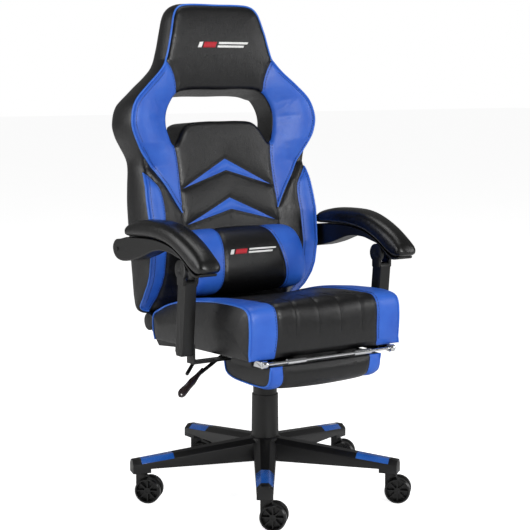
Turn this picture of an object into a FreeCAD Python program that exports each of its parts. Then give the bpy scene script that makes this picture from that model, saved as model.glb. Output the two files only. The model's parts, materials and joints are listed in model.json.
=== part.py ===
import FreeCAD, Part
import os
import re
import Sketcher

# Reclining office chair with a bucket back, linked armrests, a gas lift, five twin-wheel
# casters and a footrest that slides out from under the seat and folds over its front bar.
# Frame: origin on the floor below the gas lift's axis, +Z up, the sitter faces -Y and the
# sitter's right hand is on the -X side. Sizes are in millimetres, angles in degrees.

# Driving sizes: name, value, what it sets.
table = [
    # star base
    ("leg_count", 5, "legs of the star base"),
    ("leg_heading", 235.4, "direction of the first leg"),
    ("caster_circle", 315, "radius on which the casters stand"),
    ("leg_end", 22, "leg past the caster's stem"),
    ("leg_root", 34, "radius at which the leg leaves the hub"),
    ("leg_root_half", 27, "half width of the leg at the hub"),
    ("leg_tip_half", 19, "half width of the leg at its end"),
    ("leg_root_top", 137, "top of the leg at the hub"),
    ("leg_tip_top", 104, "top of the leg at its end"),
    ("leg_under", 82, "underside of the leg"),
    ("leg_facet", 11, "height of the sloping facets on the leg"),
    ("boss_under", 72, "underside of the boss that takes the caster"),
    ("hub_radius", 39, "outside of the hub"),
    ("hub_top", 139, "top of the hub"),
    ("inlay_start", 236, "inner end of the coloured inlay"),
    ("inlay_length", 80, "length of the coloured inlay"),
    ("inlay_depth", 2, "thickness of the coloured inlay"),
    # casters
    ("wheel_radius", 31, "caster wheel"),
    ("wheel_width", 16.5, "one wheel of the pair"),
    ("wheel_gap", 14.8, "clear space between the two wheels"),
    ("wheel_spokes", 8, "spokes of a wheel"),
    ("tread", 6, "rim thickness"),
    ("caster_trail", 21, "wheel axle behind the stem"),
    ("caster_heading", -44.1, "direction in which the wheels trail"),
    ("stem_radius", 5.5, "steel stem"),
    ("stem_top", 96, "top of the stem inside the leg"),
    ("axle_radius", 4, "wheel axle"),
    ("hood_half", 6.8, "half thickness of the caster body"),
    ("running", 0.05, "radial play of a turning or sliding fit"),
    ("play", 0.5, "side gap between parts that move past each other"),
    # gas lift
    ("cylinder_radius", 25, "outer tube of the gas lift"),
    ("cylinder_under", 62, "foot of the outer tube"),
    ("cylinder_top", 262, "top of the outer tube"),
    ("cylinder_floor", 12, "closed end of the outer tube"),
    ("tube_radius", 14, "pressure tube"),
    ("tube_under", 96, "foot of the pressure tube"),
    ("rod_radius", 5, "piston rod"),
    ("rod_top", 300, "top of the piston rod"),
    ("bearing_radius", 12, "thrust bearing under the piston rod"),
    ("bearing_height", 8, "thrust bearing under the piston rod"),
    ("cover_wall", 1.7, "wall of the sliding covers"),
    ("cover_gap", 0.5, "radial gap between the sliding covers"),
    ("foot_wall", 3.6, "wall of the lower cover at the hub"),
    ("lip_wall", 2.3, "wall of the lower cover at its top"),
    ("cover_lower_top", 244, "top of the lower cover"),
    ("cover_middle_under", 165, "foot of the middle cover"),
    ("cover_middle_top", 288, "top of the middle cover"),
    ("cover_upper_under", 195, "foot of the upper cover"),
    # tilt plate under the seat
    ("board_under", 386, "underside of the seat board"),
    ("board_thick", 12, "seat board"),
    ("pan_height", 41, "steel pan under the board"),
    ("pan_half", 55, "half width of the pan"),
    ("pan_rear", 100, "rear of the pan behind the lift's axis"),
    ("pan_gap", 6, "front of the pan clear of the stowed footrest"),
    ("pan_skin", 4, "flange thickness"),
    ("flange_half", 95, "half width of the flange"),
    ("flange_length", 220, "flange, front to rear"),
    ("bolt_x", 80, "bolts left and right of the lift's axis"),
    ("bolt_y", 95, "bolts in front of and behind the lift's axis"),
    ("bolt_radius", 4, "bolt shank"),
    ("bolt_head", 6.5, "bolt head"),
    ("bolt_head_thick", 5, "bolt head"),
    ("socket_radius", 24, "socket that seats on the pressure tube"),
    # seat
    ("board_half", 190, "half width of the seat board"),
    ("board_front", 235, "board ahead of the lift's axis"),
    ("board_rear", 165, "board behind the lift's axis"),
    ("seat_half", 224, "half width of the seat cushion"),
    ("seat_front", 251, "front of the seat cushion"),
    ("seat_rear", 176, "rear of the seat cushion"),
    ("seat_top", 512, "crown of the seat cushion"),
    ("seat_low", 398, "lower front edge of the seat cushion"),
    ("seat_tail", 377, "lower rear edge of the seat cushion"),
    # recliner
    ("hinge_y", 200, "recline axis behind the lift's axis"),
    ("hinge_z", 415, "recline axis above the floor"),
    ("hinge_plate", 5, "hinge plate"),
    ("hinge_boss", 19, "round end of a hinge plate"),
    ("hinge_pin", 6, "recline pin"),
    ("hinge_cover", 22, "plastic cover over the hinge"),
    ("hinge_cover_wide", 18, "plastic cover over the hinge"),
    # back
    ("back_lean", 6.8, "back leans behind the vertical"),
    ("back_face", 82, "front of the back ahead of the recline axis"),
    ("back_foot", 27, "foot of the back above the recline axis"),
    ("back_top", 775, "top of the back above the recline axis"),
    ("back_half", 243, "half width at the lower bolsters"),
    ("back_deep", 92, "padding, front to rear, of the back"),
    ("head_half", 132, "half width of the head panel"),
    ("head_deep", 62, "padding of the head panel"),
    ("edge_deep", 64, "padding at the back's outer edge"),
    ("edge_inset", 10, "rear of the padding inside its front outline at the wings"),
    ("edge_inset_low", 5, "rear of the padding inside its front outline at the bolsters"),
    ("neck_half", 155, "half width below the head panel"),
    ("wing_half", 272, "half width at the wings"),
    ("wing_proud", 10, "wings ahead of the front of the back"),
    ("wing_deep", 74, "padding at the wings' outer edge"),
    ("wing_rear", 18, "rear of the wings behind the recline axis"),
    ("waist_half", 238, "half width between wings and bolsters"),
    ("bolster_proud", 28, "lower bolsters ahead of the front of the back"),
    ("bolster_inner", 176, "inner edge of the lower bolsters"),
    ("hole_half", 163, "half width of the opening at its widest"),
    ("hole_top_half", 123, "half width of the opening's top edge"),
    ("hole_sill_half", 100, "half width of the opening's lower edge"),
    ("hole_top", 566, "top of the opening above the recline axis"),
    ("hole_sill", 479, "lower edge of the opening above the recline axis"),
    ("hole_low", 430, "lowest corners of the opening above the recline axis"),
    ("frame_bar", 20, "width of the steel frame's bars"),
    ("frame_deep", 18, "depth of the steel frame's bars"),
    ("frame_set", 32, "rear of the steel frame ahead of the recline axis"),
    # lumbar cushion
    ("lumbar_half", 154, "half width of the lumbar cushion"),
    ("lumbar_foot", 60, "foot of the lumbar cushion above the recline axis"),
    ("lumbar_high", 160, "height of the lumbar cushion"),
    ("lumbar_deep", 92, "thickness of the lumbar cushion"),
    # armrests
    ("arm_pivot_y", 185, "rear arm pivot behind the lift's axis"),
    ("arm_pivot_z", 604, "rear arm pivot above the floor"),
    ("knuckle_y", 100, "front arm pivot ahead of the lift's axis"),
    ("knuckle_z", 583, "front arm pivot above the floor"),
    ("arm_clear", 59, "arm centre out from the side of the seat"),
    ("arm_side", "=seat_half + arm_clear", "arm centre out from the middle of the chair"),
    ("arm_pad_wide", 66, "arm pad"),
    ("arm_shell_wide", 46, "arm shell"),
    ("tongue_wide", 22, "tongue of the front arm pivot"),
    ("fork_wide", 8, "one ear of the front arm pivot"),
    ("knuckle_radius", 23, "ears of the front arm pivot"),
    ("post_wide", 30, "arm post across the chair"),
    ("post_deep", 33, "arm post front to rear"),
    ("arm_pin", 5, "arm pivot pins"),
    ("open_pivot", 0.6, "radial play in the front arm pivot"),
    ("stud_radius", 16, "steel boss that carries the arm on the back"),
    ("bracket_thick", 5, "steel strip under the seat that carries the post"),
    ("bracket_deep", 30, "same strip front to rear"),
    ("bracket_drop", 364, "strip where it passes under the rail"),
    # footrest
    ("rail_half", 183, "rail out from the middle of the chair"),
    ("rail_z", 378, "rail above the floor"),
    ("rail_radius", 5, "rail tube"),
    ("rail_rear", 62, "rear eye of the rail behind the lift's axis"),
    ("eye_radius", 7, "eye at the rear end of the rail"),
    ("bar_y", 262, "front bar ahead of the lift's axis"),
    ("bar_radius", 3.5, "front bar"),
    ("corner_radius", 8.5, "corner fitting round the bar"),
    ("corner_wide", 14, "corner fitting"),
    ("corner_rear", 228, "rear of the corner fitting ahead of the lift's axis"),
    ("sleeve_front", 225, "front of the rail sleeve ahead of the lift's axis"),
    ("sleeve_length", 80, "rail sleeve"),
    ("sleeve_half", 11, "half width of the rail sleeve"),
    ("rest_clear", 21, "sides of the footrest pad inside the rails"),
    ("rest_half", "=rail_half - rest_clear", "half width of the footrest pad"),
    ("rest_front", 252, "front of the footrest pad"),
    ("rest_rear", 56, "rear of the footrest pad"),
    ("rest_under", 310, "underside of the footrest pad"),
    ("rest_top", 369, "top of the footrest pad"),
    ("rest_board", 9, "board in the footrest pad"),
    ("rest_margin", 12, "padding round the footrest board"),
    ("rest_hinge", 6.5, "footrest hinge tube"),
    ("rest_hinge_x", 95, "footrest hinge out from the middle of the chair"),
    ("rest_hinge_wide", 50, "footrest hinge tube"),
    # levers
    ("lever_radius", 4.5, "lever rods"),
    ("grip_wide", 17, "lever paddle"),
    ("grip_thick", 8, "lever paddle"),
    ("grip_length", 62, "lever paddle"),
    ("lift_y", 20, "lift lever's pin behind the lift's axis"),
    ("lift_drop", 32, "lift lever's pin below the seat board"),
    ("lift_eye", 7, "lift lever's eye"),
    ("lift_eye_wide", 11, "lift lever's eye"),
    ("ear_thick", 3, "ears on the pan that hold the lift lever's pin"),
    ("latch_y", 165, "recline lever's pin behind the lift's axis"),
    ("latch_z", 366, "recline lever's pin above the floor"),
    ("latch_x", 166, "recline lever's eye out from the middle"),
    ("latch_eye", 8, "recline lever's eye"),
]

doc = FreeCAD.newDocument("RecliningChair")
sizes = doc.addObject("Spreadsheet::Sheet", "Sizes")
for row, (name, value, note) in enumerate(table, start=1):
    sizes.set("A%d" % row, name)
    sizes.set("B%d" % row, str(value))
    sizes.set("C%d" % row, note)
    sizes.setAlias("B%d" % row, name)
doc.recompute()

nodes = []
functions = ("sin", "cos", "tan", "sqrt")


def link(text):
    """The expression with each size looked up in the sheet."""
    def cell(word):
        name = word.group()
        return name if name in functions else "Sizes." + name
    return re.sub(r"[a-z]\w*", cell, str(text))


def number(text):
    return float(sizes.evalExpression(link(text)))


def place(item, x="0", y="0", z="0", spin="0", lean="0"):
    """Put an object at a point, turned about Z, or leaned back about X."""
    axis = FreeCAD.Vector(1, 0, 0) if number(lean) else FreeCAD.Vector(0, 0, 1)
    turn = -number(lean) if number(lean) else number(spin)
    item.Placement = FreeCAD.Placement(FreeCAD.Vector(), FreeCAD.Rotation(axis, turn))
    for letter, text in (("x", x), ("y", y), ("z", z)):
        item.setExpression("Placement.Base." + letter, link(text))
    return item


def body(label, x="0", y="0", z="0", spin="0", lean="0", keep=True):
    item = doc.addObject("PartDesign::Body", label)
    item.Label = label
    place(item, x, y, z, spin, lean)
    if keep:
        nodes.append(item)
    return item


def origin(owner, role):
    return next(item for item in owner.Origin.OriginFeatures if item.Role == role)


def sketch(owner, role, offset="0"):
    item = owner.newObject("Sketcher::SketchObject", "Sketch")
    item.AttachmentSupport = (origin(owner, role), "")
    item.MapMode = "FlatFace"
    item.setExpression("AttachmentOffset.Base.z", link(offset))
    return item


def polygon(item, points):
    """Closed outline whose corners follow the sheet."""
    first = item.GeometryCount
    spots = [FreeCAD.Vector(number(x), number(y), 0) for x, y in points]
    count = len(spots)
    for i in range(count):
        item.addGeometry(Part.LineSegment(spots[i], spots[(i + 1) % count]))
    for i in range(count):
        item.addConstraint(Sketcher.Constraint("Coincident", first + i, 2, first + (i + 1) % count, 1))
    for i, (x, y) in enumerate(points):
        for kind, text, value in (("DistanceX", x, spots[i].x), ("DistanceY", y, spots[i].y)):
            index = item.addConstraint(Sketcher.Constraint(kind, -1, 1, first + i, 1, value))
            item.setExpression("Constraints[%d]" % index, link(text))
    return item


def circle(item, x, y, radius):
    centre = FreeCAD.Vector(number(x), number(y), 0)
    up = FreeCAD.Vector(0, 0, 1)
    shape = item.addGeometry(Part.Circle(centre, up, number(radius)))
    for kind, text, value in (("DistanceX", x, centre.x), ("DistanceY", y, centre.y)):
        index = item.addConstraint(Sketcher.Constraint(kind, -1, 1, shape, 3, value))
        item.setExpression("Constraints[%d]" % index, link(text))
    index = item.addConstraint(Sketcher.Constraint("Radius", shape, number(radius)))
    item.setExpression("Constraints[%d]" % index, link(radius))
    return item


def mirrored(points):
    """A half outline from the middle of the chair, closed with its other half."""
    other = [("-(%s)" % x, y) for x, y in reversed(points) if x != "0"]
    return points + other


def add(owner, profile, length, side="Symmetric", back=False):
    item = owner.newObject("PartDesign::Pad", "Pad")
    item.Profile = profile
    item.SideType = side
    item.Reversed = back
    item.setExpression("Length", link(length))
    doc.recompute()
    return item


def remove(owner, profile, length, side="Symmetric", back=False):
    before = owner.Shape.Volume
    item = owner.newObject("PartDesign::Pocket", "Pocket")
    item.Profile = profile
    item.SideType = side
    item.Reversed = back
    item.setExpression("Length", link(length))
    doc.recompute()
    if not item.Shape.Volume < before:
        raise RuntimeError(owner.Label + ": a pocket cuts nothing")
    return item


def spin_solid(owner, points, role="XZ_Plane"):
    """Turn an outline of (radius, height) corners about the body's own upright axis."""
    item = owner.newObject("PartDesign::Revolution", "Turned")
    item.Profile = polygon(sketch(owner, role), points)
    item.ReferenceAxis = (item.Profile[0], ["V_Axis"])
    item.Angle = 360
    doc.recompute()
    return item


def around(owner, features, count, role="Z_Axis"):
    item = owner.newObject("PartDesign::PolarPattern", "Around")
    item.Originals = features
    item.Axis = (origin(owner, role), [""])
    item.Angle = 360
    item.setExpression("Occurrences", link(count))
    owner.Tip = item
    doc.recompute()
    return item


def carve(label, whole, tools):
    """Take the pieces set into a cushion out of it."""
    item = whole
    for index, tool in enumerate(tools, start=1):
        cut = doc.addObject("Part::Cut", "Cut")
        cut.Label = label if index == len(tools) else "%s_cut_%d" % (label, index)
        cut.Base = item
        cut.Tool = tool
        item = cut
    nodes.append(item)
    return item


def together(label, pieces):
    """Like pieces of one kind, kept as separate solids under one name."""
    item = doc.addObject("Part::Compound", label)
    item.Links = pieces
    item.Label = label
    nodes.append(item)
    return item


def pin(label, x, y, z, radius, length, keep=True):
    """Round bar along X from its end at x."""
    item = body(label, x, y, z, keep=keep)
    add(item, circle(sketch(item, "YZ_Plane"), "0", "0", radius), length, "One side")
    return item


def rod(label, points, radius):
    """Round bar through points given as sheet expressions, with round knees."""
    spots = [FreeCAD.Vector(number(x), number(y), number(z)) for x, y, z in points]
    start = spots[0]
    solid = Part.makeSphere(number(radius), FreeCAD.Vector())
    for here, there in zip(spots, spots[1:]):
        run = there - here
        bar = Part.makeCylinder(number(radius), run.Length, here - start, run)
        knee = Part.makeSphere(number(radius), there - start)
        solid = solid.fuse(bar).fuse(knee)
    item = doc.addObject("Part::Feature", label)
    item.Label = label
    item.Shape = solid.removeSplitter()
    item.Placement = FreeCAD.Placement(start, FreeCAD.Rotation())
    return item


sides = (("right", "-1"), ("left", "1"))

# ---- star base ----------------------------------------------------------------------


def along_leg(root, tip, station):
    """A leg size at a station between the hub and the leg's end."""
    share = "((%s - leg_root) / (caster_circle + leg_end - leg_root))" % station
    return "(%s + (%s - %s) * %s)" % (root, tip, root, share)


def leg_edge(station, sink):
    """Faceted top of the leg at a station, as points from one side to the other."""
    half = along_leg("leg_root_half", "leg_tip_half", station)
    top = along_leg("leg_root_top", "leg_tip_top", station)
    return [
        ("%s - %s" % (half, sink), "%s - leg_facet" % top),
        ("%s * 0.45" % half, "%s - %s" % (top, sink)),
        ("-%s * 0.45" % half, "%s - %s" % (top, sink)),
        ("%s - %s" % (sink, half), "%s - leg_facet" % top),
    ]


def leg_section(owner, station):
    half = along_leg("leg_root_half", "leg_tip_half", station)
    under = [("-%s" % half, "leg_under"), (half, "leg_under")]
    return polygon(sketch(owner, "YZ_Plane", station), leg_edge(station, "0") + under)


def inlay_section(owner, station):
    """The strip between the leg's faceted top and the same line sunk by the inlay's depth."""
    inner = leg_edge(station, "inlay_depth")
    return polygon(sketch(owner, "YZ_Plane", station), leg_edge(station, "0") + inner[::-1])


def loft(owner, kind, sections):
    item = owner.newObject("PartDesign::" + kind, "Loft")
    item.Profile = sections[0]
    item.Sections = sections[1:]
    item.Ruled = True
    doc.recompute()
    return item


inlay_end = "(inlay_start + inlay_length)"
leg_reach = "(caster_circle + leg_end)"

star = body("star_base", spin="leg_heading")
spin_solid(star, [
    ("cylinder_radius", "leg_under"),
    ("hub_radius", "leg_under"),
    ("hub_radius", "hub_top - 4"),
    ("hub_radius - 4", "hub_top"),
    ("cylinder_radius", "hub_top"),
])
leg = loft(star, "AdditiveLoft", [leg_section(star, "leg_root"), leg_section(star, leg_reach)])
boss_plan = polygon(sketch(star, "XY_Plane", "boss_under"), [
    ("caster_circle - leg_end", "-leg_tip_half"),
    ("caster_circle + leg_end", "-leg_tip_half"),
    ("caster_circle + leg_end", "leg_tip_half"),
    ("caster_circle - leg_end", "leg_tip_half"),
])
boss = add(star, boss_plan, "leg_under - boss_under + 1", "One side")
recess = loft(star, "SubtractiveLoft", [inlay_section(star, "inlay_start"), inlay_section(star, inlay_end)])
stem_plan = circle(sketch(star, "XY_Plane", "boss_under"), "caster_circle", "0", "stem_radius + running")
stem_hole = remove(star, stem_plan, "stem_top - boss_under + play", "One side", True)
around(star, [leg, boss, recess, stem_hole], "leg_count")

inlays = []
for i in range(int(number("leg_count"))):
    inlay = body("inlay_%d" % (i + 1), spin="leg_heading + 360 / leg_count * %d" % i, keep=False)
    loft(inlay, "AdditiveLoft", [inlay_section(inlay, "inlay_start"), inlay_section(inlay, inlay_end)])
    inlays.append(inlay)
together("base_inlays", inlays)

# ---- casters: stem and axle pins, body, pair of spoked wheels --------------------------

wheel_inner = "(wheel_gap / 2)"
wheel_outer = "(wheel_gap / 2 + wheel_width)"
rim_inner = "(wheel_radius - tread)"


def wheel(label, sign, x, y):
    """Wheel turned about the axle, with a thin inner web and raised spokes."""
    item = body(label, x, y, "wheel_radius", spin="caster_heading", keep=False)
    corners = [
        ("axle_radius + running", wheel_inner),
        ("wheel_radius - 3", wheel_inner),
        ("wheel_radius", wheel_inner + " + 3"),
        ("wheel_radius", wheel_outer + " - 4"),
        ("wheel_radius - 2.5", wheel_outer),
        (rim_inner + " + 1", wheel_outer),
        (rim_inner, wheel_outer + " - 3"),
        (rim_inner, wheel_inner + " + 3"),
        ("9", wheel_inner + " + 3"),
        ("8", wheel_outer + " - 3"),
        ("axle_radius + running", wheel_outer + " - 3"),
    ]
    spin_solid(item, [(r, "%s * (%s)" % (sign, h)) for r, h in corners], "XY_Plane")
    spoke_plan = sketch(item, "XZ_Plane", "-(%s) * (%s + 2.5)" % (sign, wheel_inner))
    polygon(spoke_plan, [("7", "-1.6"), (rim_inner + " + 0.5", "-1.2"),
                         (rim_inner + " + 0.5", "1.2"), ("7", "1.6")])
    spoke = add(item, spoke_plan, "wheel_width - 7", "One side", sign == "1")
    around(item, [spoke], "wheel_spokes", "Y_Axis")
    return item


for i in range(int(number("leg_count"))):
    tag = str(i + 1)
    heading = "(leg_heading + 360 / leg_count * %d)" % i
    stem_x = "caster_circle * cos(%s)" % heading
    stem_y = "caster_circle * sin(%s)" % heading
    hub_x = stem_x + " + caster_trail * cos(caster_heading)"
    hub_y = stem_y + " + caster_trail * sin(caster_heading)"

    hood = body("caster_body_" + tag, stem_x, stem_y, "0", spin="caster_heading")
    hood_side = polygon(sketch(hood, "XZ_Plane"), [
        ("-10", "boss_under - 0.5"),
        ("12", "boss_under - 0.5"),
        ("caster_trail - 2", "2 * wheel_radius - 1"),
        ("caster_trail + 14", "2 * wheel_radius - 6"),
        ("caster_trail + 24", "wheel_radius + 12"),
        ("caster_trail + 27", "wheel_radius"),
        ("caster_trail + 12", "wheel_radius - 10"),
        ("caster_trail - 12", "wheel_radius - 10"),
        ("-10", "wheel_radius + 6"),
    ])
    add(hood, hood_side, "2 * hood_half")
    stem_bore = circle(sketch(hood, "XY_Plane", "boss_under"), "0", "0", "stem_radius")
    remove(hood, stem_bore, "boss_under - wheel_radius - 12", "One side")
    axle_bore = circle(sketch(hood, "XZ_Plane"), "caster_trail", "wheel_radius", "axle_radius")
    remove(hood, axle_bore, "4 * hood_half")

    stem = body("stem_" + tag, stem_x, stem_y, "wheel_radius + 12", keep=False)
    stem_end = circle(sketch(stem, "XY_Plane"), "0", "0", "stem_radius")
    add(stem, stem_end, "stem_top - wheel_radius - 12", "One side")
    axle = body("axle_" + tag, hub_x, hub_y, "wheel_radius", spin="caster_heading", keep=False)
    add(axle, circle(sketch(axle, "XZ_Plane"), "0", "0", "axle_radius"), "wheel_gap + 2 * wheel_width - 8")
    together("caster_pins_" + tag, [stem, axle])

    pair = [wheel("wheel_%s_%s" % (tag, name), sign, hub_x, hub_y)
            for name, sign in (("a", "1"), ("b", "-1"))]
    together("caster_wheels_" + tag, pair)

# ---- gas lift and its telescopic covers ------------------------------------------------

cylinder = body("gas_cylinder")
bore = "tube_radius + running"
spin_solid(cylinder, [
    ("0", "cylinder_under"),
    ("cylinder_radius", "cylinder_under"),
    ("cylinder_radius", "cylinder_top"),
    (bore, "cylinder_top"),
    (bore, "cylinder_under + cylinder_floor"),
    ("0", "cylinder_under + cylinder_floor"),
])

piston = body("piston_rod", z="cylinder_under + cylinder_floor + play")
rod_height = "rod_top - cylinder_under - cylinder_floor - play"
spin_solid(piston, [
    ("0", "0"),
    ("bearing_radius", "0"),
    ("bearing_radius", "bearing_height"),
    ("rod_radius", "bearing_height"),
    ("rod_radius", rod_height),
    ("0", rod_height),
])

pan_under = "(board_under - pan_height)"
tube_top = "(board_under - 14)"
tube = body("pressure_tube", z="tube_under")
spin_solid(tube, [
    ("rod_radius + running", "0"),
    ("tube_radius", "0"),
    ("tube_radius", tube_top + " - tube_under"),
    ("0", tube_top + " - tube_under"),
    ("0", "rod_top + 20 - tube_under"),
    ("rod_radius + running", "rod_top + 20 - tube_under"),
])

upper_in = "(cylinder_radius + cover_gap)"
middle_in = "(%s + cover_wall + cover_gap)" % upper_in
lower_in = "(%s + cover_wall + cover_gap)" % middle_in


def cover(label, inside, under, top, foot, lip):
    item = body(label, z=under)
    height = "%s - %s" % (top, under)
    spin_solid(item, [(inside, "0"), (foot, "0"), (lip, height), (inside, height)])
    return item


cover("cover_lower", lower_in, "hub_top", "cover_lower_top",
      lower_in + " + foot_wall", lower_in + " + lip_wall")
cover("cover_middle", middle_in, "cover_middle_under", "cover_middle_top",
      middle_in + " + cover_wall", middle_in + " + cover_wall")
cover("cover_upper", upper_in, "cover_upper_under", pan_under,
      upper_in + " + cover_wall", upper_in + " + cover_wall")

# ---- steel pan, seat board and bolts ---------------------------------------------------

pan = body("tilt_pan", z=pan_under)
pan_plan = polygon(sketch(pan, "XY_Plane"), [
    ("-pan_half", "pan_gap - rest_rear"),
    ("pan_half", "pan_gap - rest_rear"),
    ("pan_half", "pan_rear"),
    ("-pan_half", "pan_rear"),
])
add(pan, pan_plan, "pan_height", "One side")
flange_plan = polygon(sketch(pan, "XY_Plane", "pan_height - pan_skin"), [
    ("-flange_half", "-flange_length / 2"),
    ("flange_half", "-flange_length / 2"),
    ("flange_half", "flange_length / 2"),
    ("-flange_half", "flange_length / 2"),
])
add(pan, flange_plan, "pan_skin", "One side")
ear_x = "(pan_half + lift_eye + 1)"
ear_z = "(pan_height - lift_drop)"
for side in ("-1", "1"):
    ear_face = "-lift_y + %s * (lift_eye_wide + ear_thick + 2 * play) / 2" % side
    ear = polygon(sketch(pan, "XZ_Plane", ear_face), [
        ("-pan_half + 1", "0"),
        ("-%s" % ear_x, ear_z + " - lift_eye"),
        ("-%s - lift_eye" % ear_x, ear_z),
        ("-%s" % ear_x, ear_z + " + lift_eye"),
        ("-pan_half + 1", ear_z + " + lift_eye + 4"),
    ])
    add(pan, ear, "ear_thick")
remove(pan, circle(sketch(pan, "XZ_Plane", "-lift_y"), "-" + ear_x, ear_z, "axle_radius"), "4 * lift_eye_wide")
socket_bore = circle(sketch(pan, "XY_Plane"), "0", "0", "tube_radius")
remove(pan, socket_bore, tube_top + " - " + pan_under, "One side", True)
corners = [("%s * bolt_x" % a, "%s * bolt_y" % b) for a in ("-1", "1") for b in ("-1", "1")]
pan_holes = sketch(pan, "XY_Plane")
for x, y in corners:
    circle(pan_holes, x, y, "bolt_radius")
remove(pan, pan_holes, "3 * pan_height")

board = body("seat_board", z="board_under")
board_plan = polygon(sketch(board, "XY_Plane"), [
    ("-board_half", "-board_front"),
    ("board_half", "-board_front"),
    ("board_half", "board_rear"),
    ("-board_half", "board_rear"),
])
add(board, board_plan, "board_thick", "One side")
board_holes = sketch(board, "XY_Plane")
for x, y in corners:
    circle(board_holes, x, y, "bolt_radius")
remove(board, board_holes, "3 * board_thick")

bolts = []
for index, (x, y) in enumerate(corners):
    bolt = body("pan_bolt_%d" % index, x, y, "board_under - pan_skin - bolt_head_thick", keep=False)
    shank = "bolt_head_thick + pan_skin + board_thick - 2"
    spin_solid(bolt, [("0", "0"), ("bolt_head", "0"), ("bolt_head", "bolt_head_thick"),
                      ("bolt_radius", "bolt_head_thick"), ("bolt_radius", shank), ("0", shank)])
    bolts.append(bolt)
together("pan_bolts", bolts)

# ---- seat cushion ------------------------------------------------------------------------

seat_side = body("seat_side", keep=False)
polygon_side = polygon(sketch(seat_side, "YZ_Plane"), [
    ("-seat_front + 3", "seat_low"),
    ("-seat_front", "seat_low + 40"),
    ("-seat_front + 2", "seat_top - 34"),
    ("-seat_front + 14", "seat_top - 10"),
    ("-seat_front + 48", "seat_top"),
    ("-100", "seat_top - 4"),
    ("0", "seat_top - 16"),
    ("seat_rear - 116", "seat_top - 30"),
    ("seat_rear - 76", "seat_top - 46"),
    ("seat_rear - 58", "seat_top - 60"),
    ("seat_rear - 6", "seat_top - 80"),
    ("seat_rear", "seat_top - 92"),
    ("seat_rear", "seat_tail + 16"),
    ("seat_rear - 11", "seat_tail"),
    ("seat_rear - 90", "seat_low - 10"),
])
add(seat_side, polygon_side, "2 * seat_half + 20")
seat_face = body("seat_face", keep=False)
face_plan = polygon(sketch(seat_face, "XZ_Plane"), mirrored([
    ("seat_half - 19", "seat_tail - 10"),
    ("seat_half - 8", "seat_low + 7"),
    ("seat_half", "seat_low + 52"),
    ("seat_half - 3", "seat_top - 24"),
    ("seat_half - 20", "seat_top - 6"),
    ("seat_half - 74", "seat_top + 3"),
]))
add(seat_face, face_plan, "2 * seat_front + 2 * seat_rear")
seat_block = doc.addObject("Part::Common", "seat_block")
seat_block.Base = seat_side
seat_block.Tool = seat_face
board_space = body("board_space", z="seat_tail - 10", keep=False)
space_plan = polygon(sketch(board_space, "XY_Plane"), [
    ("-board_half", "-board_front"),
    ("board_half", "-board_front"),
    ("board_half", "board_rear"),
    ("-board_half", "board_rear"),
])
add(board_space, space_plan, "board_under + board_thick - seat_tail + 10", "One side")

# ---- recliner: seat plates, pins, covers --------------------------------------------------

foot_top = "(board_under - hinge_z)"
covers = []
pins = []
seat_plates = []
for name, sign in sides:
    plate = body("hinge_plate_" + name, "%s * (board_half + hinge_plate / 2)" % sign, "hinge_y", "hinge_z")
    plate_side = polygon(sketch(plate, "YZ_Plane"), [
        ("-120", foot_top + " + board_thick"),
        ("-120", foot_top + " - 20"),
        ("-20", foot_top + " - 30"),
        ("16", "-hinge_boss - 4"),
        ("hinge_boss", "0"),
        ("hinge_boss * 0.7", "hinge_boss * 0.7"),
        ("0", "hinge_boss"),
        ("-hinge_boss * 0.7", "hinge_boss * 0.7"),
        ("-hinge_boss", "0"),
        ("seat_rear - hinge_y + 2", "seat_tail - hinge_z + 6"),
        ("seat_rear - hinge_y - 10", "seat_tail - hinge_z - 3"),
        ("-90", foot_top),
        ("-95", foot_top + " + board_thick"),
    ])
    add(plate, plate_side, "hinge_plate")
    seat_plates.append(plate)
    remove(plate, circle(sketch(plate, "YZ_Plane"), "0", "0", "hinge_pin"), "4 * hinge_plate")
    pin_in = "board_half - play - hinge_plate - 2"
    pin_long = "(2 * hinge_plate + play + 4)"
    start = "%s * (%s) - %s" % (sign, pin_in, "0" if sign == "1" else pin_long)
    pins.append(pin("hinge_pin_" + name, start, "hinge_y", "hinge_z", "hinge_pin", pin_long, False))
    cap = body("hinge_cap_" + name, "%s * (board_half + hinge_plate + hinge_cover_wide / 2)" % sign,
               "hinge_y", "hinge_z", keep=False)
    add(cap, circle(sketch(cap, "YZ_Plane"), "0", "0", "hinge_cover"), "hinge_cover_wide")
    cap_hole = circle(sketch(cap, "YZ_Plane", "%s * -hinge_cover_wide / 2" % sign), "0", "0", "hinge_pin + 1")
    remove(cap, cap_hole, "6", "One side", sign == "1")
    covers.append(cap)
together("hinge_pins", pins)
together("hinge_covers", covers)
carve("seat_cushion", seat_block, [board_space] + seat_plates)

# ---- back: steel frame, side plates, arm bosses, padding ----------------------------------

arm_u = "(cos(back_lean) * (arm_pivot_y - hinge_y) - sin(back_lean) * (arm_pivot_z - hinge_z))"
arm_v = "(sin(back_lean) * (arm_pivot_y - hinge_y) + cos(back_lean) * (arm_pivot_z - hinge_z))"
frame_half = "(board_half - play - hinge_plate)"

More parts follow.
